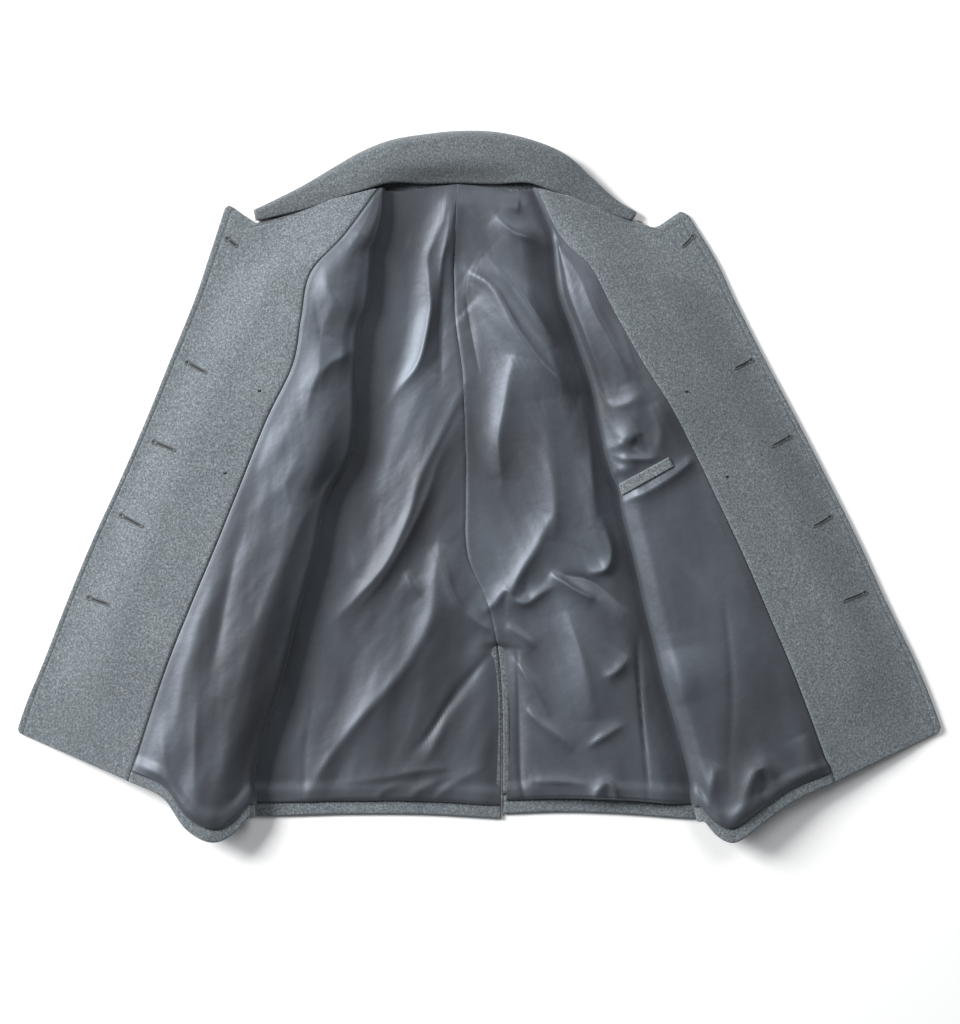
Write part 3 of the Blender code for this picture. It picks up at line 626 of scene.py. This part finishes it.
def panel(name, lower, upper, material, turn):
    """A cloth panel: a closed wall lofted between two grids of points, in place of the model's plain one."""
    down, across = lower.shape[:2]
    side = down * across
    index = np.arange(side).reshape(down, across)
    a, b, c, d = index[:-1, :-1], index[:-1, 1:], index[1:, 1:], index[1:, :-1]
    top = np.stack([a, d, c, b], axis=-1).reshape(-1, 4) + side
    bottom = np.stack([a, b, c, d], axis=-1).reshape(-1, 4)
    rim = np.concatenate([index[0], index[1:, -1], index[-1, -2::-1], index[-2:0:-1, 0]])
    after = np.roll(rim, -1)
    wall = np.stack([rim, rim + side, after + side, after], axis=-1)
    faces = np.concatenate([top, bottom, wall])
    if turn < 0:
        faces = faces[:, ::-1]
    points = np.concatenate([lower.reshape(-1, 3), upper.reshape(-1, 3)])
    obj = mesh_object(f"cloth_{name}", points, faces.tolist(), material)
    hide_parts(name)
    pieces.append(obj)


# ---- materials -------------------------------------------------------------------------------------

def node_material(name, roughness, specular):
    material = bpy.data.materials.new(name)
    material.use_nodes = True
    shader = material.node_tree.nodes["Principled BSDF"]
    shader.inputs["Roughness"].default_value = roughness
    shader.inputs["Specular IOR Level"].default_value = specular
    return material, material.node_tree, shader


def noise(tree, scale, detail=3.0, roughness=0.6, stretch=None):
    coords = tree.nodes.new("ShaderNodeTexCoord")
    texture = tree.nodes.new("ShaderNodeTexNoise")
    texture.inputs["Scale"].default_value = scale
    texture.inputs["Detail"].default_value = detail
    texture.inputs["Roughness"].default_value = roughness
    source = coords.outputs["Object"]
    if stretch:
        mapping = tree.nodes.new("ShaderNodeMapping")
        mapping.inputs["Scale"].default_value = stretch[:3]
        mapping.inputs["Rotation"].default_value = (0, 0, stretch[3])
        tree.links.new(source, mapping.inputs["Vector"])
        source = mapping.outputs["Vector"]
    tree.links.new(source, texture.inputs["Vector"])
    return texture.outputs["Fac"]


def ramp(tree, factor, stops):
    """A colour ramp through (position, colour) stops."""
    node = tree.nodes.new("ShaderNodeValToRGB")
    elements = node.color_ramp.elements
    while len(elements) < len(stops):
        elements.new(0.5)
    for element, (position, colour) in zip(elements, stops):
        element.position = position
        element.color = (*colour, 1)
    tree.links.new(factor, node.inputs["Fac"])
    return node.outputs["Color"]


def mixed(tree, mode, factor, first, second):
    node = tree.nodes.new("ShaderNodeMix")
    node.data_type = "RGBA"
    node.blend_type = mode
    node.inputs["Factor"].default_value = factor
    tree.links.new(first, node.inputs[6])
    tree.links.new(second, node.inputs[7])
    return node.outputs[2]


def bumped(tree, shader, layers):
    """Bumps from (height, strength, distance) layers, one on the other."""
    previous = None
    for height, strength, distance in layers:
        bump = tree.nodes.new("ShaderNodeBump")
        bump.inputs["Strength"].default_value = strength
        bump.inputs["Distance"].default_value = distance
        tree.links.new(height, bump.inputs["Height"])
        if previous:
            tree.links.new(previous, bump.inputs["Normal"])
        previous = bump.outputs["Normal"]
    tree.links.new(previous, shader.inputs["Normal"])


def wool_material(name, tone):
    """Heather melton: short felted hairs of pale and dark grey, matt with a soft nap."""
    material, tree, shader = node_material(name, 0.92, 0.15)
    flecks = ramp(tree, noise(tree, 430, 6, 0.78), [
        (0.33, (0.050 * tone, 0.058 * tone, 0.064 * tone)),
        (0.5, (0.124 * tone, 0.144 * tone, 0.158 * tone)),
        (0.67, (0.25 * tone, 0.284 * tone, 0.305 * tone)),
    ])
    strands = noise(tree, 900, 2, 0.5, (1, 0.35, 1, 0.6))
    hairs = ramp(tree, strands, [(0.35, (0.78,) * 3), (0.65, (1.22,) * 3)])
    cloud = ramp(tree, noise(tree, 16, 3, 0.5), [(0.3, (0.93, 0.93, 0.94)), (0.7, (1.06, 1.06, 1.05))])
    colour = mixed(tree, "MULTIPLY", 1.0, mixed(tree, "MULTIPLY", 1.0, flecks, hairs), cloud)
    tree.links.new(colour, shader.inputs["Base Color"])
    shader.inputs["Sheen Weight"].default_value = 0.25
    shader.inputs["Sheen Roughness"].default_value = 0.6
    bumped(tree, shader, [(noise(tree, 420, 5, 0.75), 0.55, 0.0009), (noise(tree, 40, 3, 0.5), 0.25, 0.002)])
    return material


def satin_material(name):
    """Satin lining: smooth and bluish grey, with a broad sheen and slight crumpling, and broad darker and
    lighter patches of painted sheen in its colour.
    """
    material, tree, shader = node_material(name, 0.52, 0.5)
    # Painted sheen and shade: random broad patches, darker and lighter, stretched along the cloth.
    tone = ramp(tree, noise(tree, 11, 3, 0.5, (1, 0.45, 1, 0.15)), [
        (0.34, (0.050, 0.055, 0.065)),
        (0.66, (0.090, 0.104, 0.124)),
    ])
    tree.links.new(tone, shader.inputs["Base Color"])
    shader.inputs["Metallic"].default_value = 0.55
    shader.inputs["Sheen Weight"].default_value = 0.1
    bumped(tree, shader, [(noise(tree, 60, 3, 0.5), 0.18, 0.0025)])
    return material


def plain_material(name, colour, roughness, specular=0.3, grain=900):
    material, tree, shader = node_material(name, roughness, specular)
    tone = ramp(tree, noise(tree, grain, 2, 0.5), [
        (0.3, tuple(c * 0.75 for c in colour)),
        (0.7, tuple(c * 1.25 for c in colour)),
    ])
    tree.links.new(tone, shader.inputs["Base Color"])
    return material


# ---- panels ----------------------------------------------------------------------------------------

def stitched_in(distance):
    """How much the topstitching pulls the wool in, at a distance from its edge, as a share."""
    return np.exp(-(((distance - TOPSTITCH_INSET) / TOPSTITCH_WIDTH) ** 2))


def wool_fronts(half):
    """The facing, with round edges and a sunk line of topstitching, and the outer wool below it."""
    facing = slice(0, half.facing_end)
    along = np.minimum(half.from_edge, half.from_hem[:, facing])
    along = np.where(half.from_edge < LAPEL_EDGE, np.minimum(along, half.from_top[:, None]), along)
    rise = rounded(along, EDGE_ROUND)
    lapel_fade = 1 - smoothstep(LAPEL_EDGE - 12, LAPEL_EDGE - 2, half.from_edge)
    stitched = np.maximum(stitched_in(half.from_edge), stitched_in(half.from_top)[:, None] * lapel_fade)
    low, high = FACING_LAYER
    top = low + EDGE_WALL + (high - low - EDGE_WALL) * rise * (0.55 + 0.45 * rounded(half.from_seam, 1.6))
    top = top - TOPSTITCH_DEPTH * stitched
    panel(f"facing_{half.name}", half.surface(facing, low * np.ones_like(top)), half.surface(facing, top),
          wool, half.turn)

    front = slice(0, half.front_end)
    bottom = np.zeros((len(half.v), half.front_end))
    bottom[:, facing] = EDGE_DRAWN_UP * (1 - rise)
    lower = half.surface(front, bottom)[::2, ::2]
    upper = half.surface(front, np.full_like(bottom, WOOL))[::2, ::2]
    panel(f"front_shell_{half.name}", lower, upper, wool, half.turn)


def lining_lift(half):
    """How the lining leaves its layer near the hem, to lie on the wool's turned-up band."""
    return 2.4 * smoothstep(LINING_END - 0.017, LINING_END - 0.008, half.v)[:, None]


def front_lining(half, folds):
    """The satin of a front, from the facing's seam over the ridge and back under the front."""
    columns = slice(half.facing_end - 1, half.front_end)
    rows = half.v <= LINING_END
    points = half.grid[:, columns]
    x, y = points[..., 0], points[..., 1]
    position = np.arange(points.shape[1])
    top_count = half.top_end - half.facing_end + 1
    roll_count = half.roll_end - half.facing_end + 1
    window = 1 - 0.55 * smoothstep(top_count - 12, top_count, position)
    window = window * (1 - smoothstep(top_count, roll_count, position))
    from_seam = np.linalg.norm(points[..., :2] - points[:, :1, :2], axis=2)
    window = window[None] * smoothstep(0, SEAM_EASE[half.name], from_seam)
    window = window * smoothstep(0.0, 0.03, half.v)[:, None] * smoothstep(14, 24, half.from_hem[:, columns])
    height = FRONT_LOFT + FRONT_FOLD_SHARE[half.name] * fold_field(folds, x, y)
    for tall, size, seed in FRONT_DRAPES:
        height += tall * drape(x, y, half.heading, size, seed)
    tucked = 0.7 * smoothstep(5, 0, from_seam)
    offset = LINING_LAYER[0] + lining_lift(half) + window * at_least_zero(height) - tucked
    lower = half.surface(columns, offset)[rows]
    upper = half.surface(columns, offset + LINING)[rows]
    panel(f"front_lining_{half.name}", lower, upper, satin, half.turn)


def back_lining(half, folds):
    """The satin of the back, from the side fold to the centre seam, drawn in beside the vent."""
    columns = half.back_columns
    rows = half.v <= LINING_END
    x, y = half.grid[:, columns, 0], half.grid[:, columns, 1]
    start, full = BACK_RISE[half.name]
    window = smoothstep(start, full, half.from_valley - half.depth)
    window = window * (0.35 + 0.65 * smoothstep(0.0, 0.04, half.v))[:, None]
    window = window * smoothstep(14, 20, half.from_hem[:, columns])
    folded = BACK_FOLD_SHARE[half.name] * fold_field(folds, x, y)
    for tall, size, seed in BACK_DRAPES:
        folded += tall * drape(x, y, half.back_heading, size, seed)
    height = BACK_LOFT + BACK_BELLY[half.name] * smoothstep(0, 120, half.from_centre) + folded
    seam_dip = 0.9 * np.exp(-((half.from_centre / 2.0) ** 2)) * smoothstep(0, 0.05, 1 - half.v)[:, None]
    raised = window * at_least_zero(height) - seam_dip * window
    offset = np.broadcast_to(LINING_LAYER[0] + lining_lift(half), x.shape)
    at_vent = smoothstep(VENT_TOP - 0.004, VENT_TOP + 0.006, half.v)[:, None]
    drawn_in = VENT_FACING_WIDTH[half.name] * at_vent * smoothstep(45, 0, half.from_centre)
    lower = half.surface(columns, offset) + half.inward * drawn_in[..., None]
    lower[..., 2] += raised
    near_vent = np.exp(-((half.from_centre / 14) ** 2))
    lower[..., 2] -= 0.8 * at_vent * window * at_least_zero(height) * near_vent
    upper = lower + half.normals[:, columns]
    panel(f"back_lining_{half.name}", lower[rows], upper[rows], satin, half.turn)


def vent_narrowing(half):
    """How the wool of the back is drawn in towards the centre, so that the vent's edges stay apart."""
    return VENT_EDGE * smoothstep(VENT_EASE, 0, half.from_centre)[..., None] * half.inward


def back_shell(half):
    columns = half.back_columns
    rise = np.minimum(rounded(half.from_centre, EDGE_ROUND), rounded(half.from_hem[:, columns], EDGE_ROUND))
    lower = half.surface(columns, EDGE_DRAWN_UP * (1 - rise))
    upper = half.surface(columns, np.full_like(rise, WOOL))
    narrow = vent_narrowing(half)
    panel(f"back_shell_{half.name}", (lower + narrow)[::2, ::2], (upper + narrow)[::2, ::2], wool, half.turn)


def hem_band(half, name, columns):
    """The turned-up wool along the hem of a front or of the back."""
    rows = half.v >= HEM_BAND_START
    rise = rounded(half.from_hem[:, columns], EDGE_ROUND)
    low, high = FACING_LAYER
    lower = half.surface(columns, np.full((len(half.v), columns.stop - columns.start), low))
    if name == "back":
        rise = np.minimum(rise, rounded(half.from_centre, EDGE_ROUND))
        lower = lower + vent_narrowing(half)
    top = EDGE_WALL + (high - low - EDGE_WALL) * rise
    upper = lower + half.normals[:, columns] * top[..., None]
    panel(f"hem_{name}_{half.name}", lower[rows], upper[rows], wool, half.turn)


def vent_facing(half):
    """The turned edge of wool beside the vent."""
    rows = (half.v >= VENT_TOP) & (half.v <= HEM_BAND_START)
    across = np.array([9.0, 6.0, 4.2, 3.0, 2.0, 1.2, VENT_EDGE + 0.1])
    lower = half.grid[rows, -1][:, None] + half.inward[rows] * across[:, None]
    lower[..., 2] += FACING_LAYER[0]
    upper = lower.copy()
    upper[..., 2] += EDGE_WALL + 2.4 * rounded(across - VENT_EDGE, 2.0)
    # Its wool is the darker copy, painted shade along the vent's edge.
    panel(f"vent_facing_{half.name}", lower, upper, wool_painted_shade, half.turn)


def collar_surface():
    """The collar's innermost surface, along its length and round its roll, with its normals."""
    keys = np.arange(len(COLLAR))
    at = np.linspace(0, len(COLLAR) - 1, 230)
    neck, roll_line = (through(keys, [getattr(c, k) for c in COLLAR], at) for k in ("neck", "roll_line"))
    sizes = ("height", "reach", "radius")
    height, reach, radius = (through(keys, [getattr(c, k) for c in COLLAR], at) for k in sizes)
    radius = radius * COLLAR_ROLL
    out = unit(roll_line - neck)
    folded = FACING_LAYER[1]
    centre = roll_line - out * (radius + folded)
    top = folded + 2 * radius
    t = np.linspace(0, 1, 16)[:-1]
    plan = neck[:, None] + (centre - neck)[:, None] * t[:, None]
    stand = height + (np.maximum(top, height) - height) * smoothstep(0, 0.6, t)
    stand = stand + (top - np.maximum(top, height)) * smoothstep(0.6, 1, t)
    stand = stand + 1.5 * np.sin(math.pi * t) * smoothstep(2, 6, radius)
    parts = [np.concatenate([plan, stand[..., None]], axis=2)]
    angles = np.linspace(math.pi / 2, -math.pi / 2, 15)
    plan = centre[:, None] + out[:, None] * (radius * np.cos(angles))[..., None]
    parts.append(np.concatenate([plan, (folded + radius + radius * np.sin(angles))[..., None]], axis=2))
    t = np.linspace(0, 1, 12)[1:]
    plan = centre[:, None] + (roll_line - out * reach - centre)[:, None] * t[:, None]
    parts.append(np.concatenate([plan, np.full((*plan.shape[:2], 1), folded)], axis=2))
    grid = np.concatenate(parts, axis=1)
    normals = unit(np.cross(np.gradient(grid, axis=0), np.gradient(grid, axis=1)))
    return grid, normals


def collar():
    """The under collar and the upper collar, one on the other."""
    grid, normals = collar_surface()
    length = run_length(grid[:, 0])
    ends = np.minimum(length, length[-1] - length)
    across = np.linalg.norm(np.diff(grid, axis=1), axis=2).cumsum(axis=1)
    across = np.concatenate([np.zeros((len(grid), 1)), across], axis=1)
    rise = rounded(ends, EDGE_ROUND)[:, None] * rounded(across[:, -1:] - across, EDGE_ROUND)
    rise = rise * (0.5 + 0.5 * rounded(across, 2.5))
    low, high = SHELL_LAYER
    # Both collar pieces take the darker copy of the wool, painted shade.
    panel("under_collar", grid + normals * low, grid + normals * high, wool_painted_shade, 1)
    low, high = FACING_LAYER
    thick = EDGE_WALL + (high - low - EDGE_WALL) * rise
    panel("upper_collar", grid + normals * low, grid + normals * (low + thick)[..., None], wool_painted_shade, 1)


def tube_faces(rings, around, first=0):
    """Quads between neighbouring rings of points, counted from the first point of the first ring."""
    faces = []
    for ring in range(rings - 1):
        for k in range(around):
            a, b = (first + ring * around + step for step in (k, (k + 1) % around))
            faces.append((a, b, b + around, a + around))
    return faces


def sleeve(side, sections):
    """A flattened tube of wool below a front, open at both ends."""
    keys = np.arange(len(sections))
    at = np.linspace(0, len(sections) - 1, 60)
    table = through(keys, [(s.x, s.y, s.width) for s in sections], at)
    along = unit(np.gradient(table[:, :2], axis=0))
    across = np.stack([-along[:, 1], along[:, 0]], axis=-1)
    angles = np.linspace(0, 2 * math.pi, 49)[:-1]
    reach = np.sign(np.cos(angles)) * np.abs(np.cos(angles)) ** 0.5
    height = np.sign(np.sin(angles)) * np.abs(np.sin(angles)) ** 0.5 * SLEEVE_HALF_HEIGHT
    plan = table[:, None, :2] + across[:, None] * (reach * table[:, 2:] / 2)[..., None]
    grid = with_height(plan, SLEEVE_HALF_HEIGHT + height)
    faces = tube_faces(len(grid), len(angles))
    obj = mesh_object(f"cloth_sleeve_{side}", grid.reshape(-1, 3), faces, wool)
    thicken = obj.modifiers.new("Wall", "SOLIDIFY")
    thicken.thickness = WOOL * MM
    thicken.offset = -1
    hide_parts(f"sleeve_{side}")


# ---- small things laid on the finished cloth --------------------------------------------------------

class Cloths:
    """Finds the top of the finished cloth above plan points given in the tables' own millimetres."""

    def __init__(self, objects):
        points, faces = [], []
        for obj in objects:
            start = len(points)
            points += [v.co / MM for v in obj.data.vertices]
            faces += [[start + i for i in polygon.vertices] for polygon in obj.data.polygons]
        self.tree = BVHTree.FromPolygons(points, faces)

    def at(self, x, y, above=0.0):
        place = Vector((x - PLAN_CENTRE[0], y - PLAN_CENTRE[1], 200))
        hit = self.tree.ray_cast(place, Vector((0, 0, -1)))
        point = hit[0] if hit[0] is not None else Vector((place.x, place.y, 0))
        return np.array([x, y, point.z + above])


def bead(start, end, radius, lift=0.0, sides=6):
    """A short stitch: a bar that is thick in its middle and sinks into the cloth at its ends."""
    start, end = np.asarray(start, float), np.asarray(end, float)
    along = unit(end - start)
    side = unit(np.cross(along, [0, 0, 1.0]))
    up = np.cross(side, along)
    points = []
    stations = [(0.0, 0.35, -0.5), (0.18, 0.85, 0.0), (0.5, 1.0, 0.25), (0.82, 0.85, 0.0), (1.0, 0.35, -0.5)]
    for t, size, height in stations:
        middle = start + (end - start) * t + up * (lift + radius * height)
        for k in range(sides):
            angle = 2 * math.pi * k / sides
            points.append(middle + (side * math.cos(angle) + up * math.sin(angle)) * radius * size)
    last = (len(stations) - 1) * sides
    faces = tube_faces(len(stations), sides)
    faces += [tuple(range(sides - 1, -1, -1)), tuple(last + k for k in range(sides))]
    return points, faces


def joined(name, pieces, material):
    """One mesh from many small closed pieces."""
    points, faces = [], []
    for piece_points, piece_faces in pieces:
        start = len(points)
        points += list(piece_points)
        faces += [tuple(start + i for i in face) for face in piece_faces]
    return mesh_object(name, np.array(points), faces, material)


def along_line(points, spacing):
    """Even stations along a line of points."""
    points = np.asarray(points, float)
    length = run_length(points)
    at = np.arange(0, length[-1], spacing)
    return np.stack([np.interp(at, length, points[:, k]) for k in range(points.shape[1])], axis=-1)


def row_of_stitches(line, spacing, length, radius, lift):
    stations = along_line(line, spacing / 8)
    step = max(1, round(8 * length / spacing))
    return [bead(stations[i], stations[i + step], radius, lift) for i in range(0, len(stations) - step, 8)]


def edge_stitches(half):
    """The topstitching along the front edge and the lapel's top edge."""
    column = int(np.argmin(np.abs(np.array(EDGE_STEPS) - TOPSTITCH_INSET)))
    sunk = np.full((len(half.v), 1), FACING_LAYER[1] - TOPSTITCH_DEPTH)
    top = half.surface(slice(column, column + 1), sunk)[:, 0]
    line = top[(half.from_top > TOPSTITCH_INSET) & (half.from_hem[:, column] > TOPSTITCH_INSET)]
    return row_of_stitches(line, 3.4, 2.3, 0.28, 0.0)


def buttonhole(cloths, outer, inner, draw):
    """A keyhole: a ring of close stitches round a slit, with its eye at the outer end. The slit and the eye
    are dark beads, painted shade in the opening.
    """
    outer, inner = np.array(outer, float), np.array(inner, float)
    along = unit(inner - outer)
    side = np.array([-along[1], along[0]])
    length = np.linalg.norm(inner - outer)
    eye = outer + along * 2.6
    ring = [eye + 2.5 * (math.sin(a) * side - math.cos(a) * along) for a in np.linspace(-2.3, 2.3, 13)]
    near = np.arange(5.2, length - 1.5, 1.0)
    rim = [outer + along * d - side * 1.25 for d in near[::-1]] + ring
    rim += [outer + along * d + side * 1.25 for d in near]
    stitches = []
    for p in along_line(rim, 0.9):
        distance = max(5.0, (p - outer) @ along)
        middle = eye if np.linalg.norm(p - eye) < 3.4 else outer + along * distance
        out = unit(p - middle)
        reach = 1.15 + draw.uniform(-0.12, 0.2)
        a, b = p - out * 0.7, p + out * reach
        stitches.append(bead(cloths.at(*a), cloths.at(*b), 0.55, 0.25))
    bar_start, bar_end = inner - along * 1.0 - side * 2.4, inner - along * 1.0 + side * 2.4
    for shift in (0.0, 0.9):
        ends = (cloths.at(*(bar_start + along * shift)), cloths.at(*(bar_end + along * shift)))
        stitches.append(bead(*ends, 0.55, 0.3))
    # Painted shade: dark beads along the slit and in the eye, where the opening lies in shade.
    slit = [bead(cloths.at(*(outer + along * 4.4)), cloths.at(*(inner - along * 1.4)), 0.75, 0.0, 8)]
    slit.append(bead(cloths.at(*(eye - side * 1.7)), cloths.at(*(eye + side * 1.7)), 1.5, -0.9, 10))
    return stitches, slit


def button(name, node):
    """A turned four-hole button, face down under the front."""
    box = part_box(node)
    low, high = np.array(box[0]) / MM, np.array(box[1]) / MM
    middle, radius, top = (low + high) / 2, (high[0] - low[0]) / 2, high[2]
    base = low[2]
    profile = [(0, top), (0.72, top), (0.93, top - 0.5), (1.0, top - 1.5), (0.98, base + 0.9), (0.9, base),
               (0.76, base + 0.2), (0.66, base + 1.1), (0, base + 1.2)]
    around = 48
    points = [(middle[0], middle[1], profile[0][1])]
    for share, z in profile[1:-1]:
        for k in range(around):
            angle = 2 * math.pi * k / around
            reach = radius * share
            points.append((middle[0] + reach * math.cos(angle), middle[1] + reach * math.sin(angle), z))
    points.append((middle[0], middle[1], profile[-1][1]))
    faces = [(0, 1 + k, 1 + (k + 1) % around) for k in range(around)]
    faces += [face[:1] + face[:0:-1] for face in tube_faces(len(profile) - 2, around, 1)]
    last = 1 + (len(profile) - 3) * around
    faces += [(last + k, len(points) - 1, last + (k + 1) % around) for k in range(around)]
    obj = mesh_object(f"horn_{name}", np.array(points) + PLAN_CENTRE, faces, horn)
    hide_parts(node)


def welt(cloths):
    """The inside pocket's welt: a narrow band of wool, felled down all round."""
    across, along = np.linspace(0, 1, 15), np.linspace(0, 1, 61)
    upper, lower = (np.array(line, float) for line in (WELT_UPPER, WELT_LOWER))
    grid = np.zeros((len(across), len(along), 3))
    for j, t in enumerate(across):
        for k, s in enumerate(along):
            first, second = (line[0] + (line[1] - line[0]) * s for line in (upper, lower))
            grid[j, k] = cloths.at(*(first + (second - first) * t))
    for _ in range(14):
        smooth = (grid[:, :-2, 2] + 2 * grid[:, 1:-1, 2] + grid[:, 2:, 2]) / 4
        grid[:, 1:-1, 2] = np.maximum(smooth, grid[:, 1:-1, 2])
    width = np.linalg.norm(upper[0] - lower[0])
    from_side = np.minimum(across, 1 - across)[:, None] * width
    from_end = np.minimum(along, 1 - along)[None] * np.linalg.norm(upper[1] - upper[0])
    rise = rounded(np.minimum(from_side, from_end), 1.8)
    low = grid + [0, 0, 0.3]
    high = low + np.stack([np.zeros_like(rise), np.zeros_like(rise), 0.2 + 2.4 * rise], axis=-1)
    panel("pocket_welt", low, high, wool, 1)


# ---- light, floor and camera ------------------------------------------------------------------------

def area_light(name, place, target, size, energy, colour):
    light = bpy.data.lights.new(name, "AREA")
    light.shape = "RECTANGLE"
    light.size, light.size_y = size
    light.energy = energy
    light.color = colour
    obj = bpy.data.objects.new(name, light)
    obj.location = place
    obj.rotation_euler = (Vector(target) - Vector(place)).to_track_quat("-Z", "Y").to_euler()
    bpy.context.scene.collection.objects.link(obj)


def make_floor():
    material, _, shader = node_material("floor_paper", 0.9, 0.1)
    shader.inputs["Base Color"].default_value = (0.88, 0.88, 0.88, 1)
    mesh = bpy.data.meshes.new("floor")
    side = FLOOR_HALF_SIDE
    corners = [(-side, -side, 0), (side, -side, 0), (side, side, 0), (-side, side, 0)]
    mesh.from_pydata(corners, [], [(0, 1, 2, 3)])
    mesh.materials.append(material)
    obj = bpy.data.objects.new("floor", mesh)
    bpy.context.scene.collection.objects.link(obj)


def make_camera():
    camera = bpy.data.cameras.new("camera")
    camera.sensor_fit = "VERTICAL"
    camera.sensor_height = SENSOR_HEIGHT
    camera.lens = SENSOR_HEIGHT * CAMERA_DISTANCE / CAMERA_VIEW_HEIGHT
    camera.clip_end = 50.0
    obj = bpy.data.objects.new("camera", camera)
    obj.location = (*CAMERA_PLAN, CAMERA_DISTANCE)
    bpy.context.scene.collection.objects.link(obj)
    bpy.context.scene.camera = obj


def make_world():
    world = bpy.data.worlds.new("studio")
    world.use_nodes = True
    background = world.node_tree.nodes["Background"]
    background.inputs["Color"].default_value = (0.93, 0.96, 1.0, 1)
    background.inputs["Strength"].default_value = 0.17
    bpy.context.scene.world = world
    bpy.context.scene.view_settings.view_transform = "Standard"


# ---- the coat ---------------------------------------------------------------------------------------

pieces = []
wool = wool_material("wool_heather", 0.84)
# A darker copy of the wool, with painted shade in its colour, for the collar and the vent's edges.
wool_painted_shade = wool_material("wool_painted_shade", 0.66)
satin = satin_material("satin")
horn = plain_material("horn_dark", (0.02, 0.02, 0.021), 0.35, 0.5, 300)
thread = plain_material("thread_grey", (0.10, 0.107, 0.11), 0.7)
# Dark thread for the buttons' thread ends, and the painted shade in the buttonholes' slits.
dark_thread_and_painted_slit_shade = plain_material("dark_thread_and_painted_slit_shade", (0.016, 0.017, 0.018), 0.7)

LEFT = Half("left", LEFT_SECTIONS, LEFT_RIDGE, LEFT_TOP, LEFT_LOBE, 1, 6.0, 5.0, 247, 236)
RIGHT = Half("right", RIGHT_SECTIONS, RIGHT_RIDGE, RIGHT_TOP, RIGHT_LOBE, -1, 6.0, 8.0, 293, 300)

for half, folds in ((LEFT, LEFT_FOLDS), (RIGHT, RIGHT_FOLDS)):
    wool_fronts(half)
    front_lining(half, folds)
    back_lining(half, BACK_FOLDS)
    back_shell(half)
    hem_band(half, "front", slice(half.facing_end - 1, half.front_end))
    hem_band(half, "back", half.back_columns)
    vent_facing(half)
collar()
for side, sections in (("left", LEFT_SLEEVE), ("right", RIGHT_SLEEVE)):
    sleeve(side, sections)
for name in ("left_upper", "left_lower", "right_upper", "right_lower"):
    button(name, f"button_{name}")

welt(Cloths(pieces))
draw = np.random.default_rng(4)
cloths = Cloths(pieces)
for half in (LEFT, RIGHT):
    purl, slits, dots = [], [], []
    for outer, inner in BUTTONHOLES[half.name]:
        stitches, slit = buttonhole(cloths, outer, inner, draw)
        purl += stitches
        slits += slit
    for x, y in THREAD_ENDS[half.name]:
        dots.append(bead(cloths.at(x - 2.2, y + 0.6), cloths.at(x + 2.2, y - 0.4), 0.9, 0.3))
        dots.append(bead(cloths.at(x - 1.6, y - 1.0), cloths.at(x + 1.9, y + 1.2), 0.9, 0.3))
    joined(f"buttonhole_purl_{half.name}", purl, thread)
    # The slits' dark beads are painted shade.
    joined(f"buttonhole_slit_shade_{half.name}", slits, dark_thread_and_painted_slit_shade)
    joined(f"button_thread_ends_{half.name}", dots, dark_thread_and_painted_slit_shade)
    joined(f"topstitching_{half.name}", edge_stitches(half), thread)
for pattern, cut in CUTS.items():
    for side, (width, length, area) in zip(("left", "right"), cut.sizes):
        name = pattern.format(side)

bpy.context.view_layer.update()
make_floor()
make_camera()
make_world()
area_light("window", (-3.5, 1.6, 2.35), (0, 0, 0), (1.9, 1.9), 425, (1.0, 1.0, 1.0))
area_light("second_window", (1.6, 2.6, 3.0), (0, 0, 0), (2.4, 2.4), 85, (1.0, 1.0, 1.0))
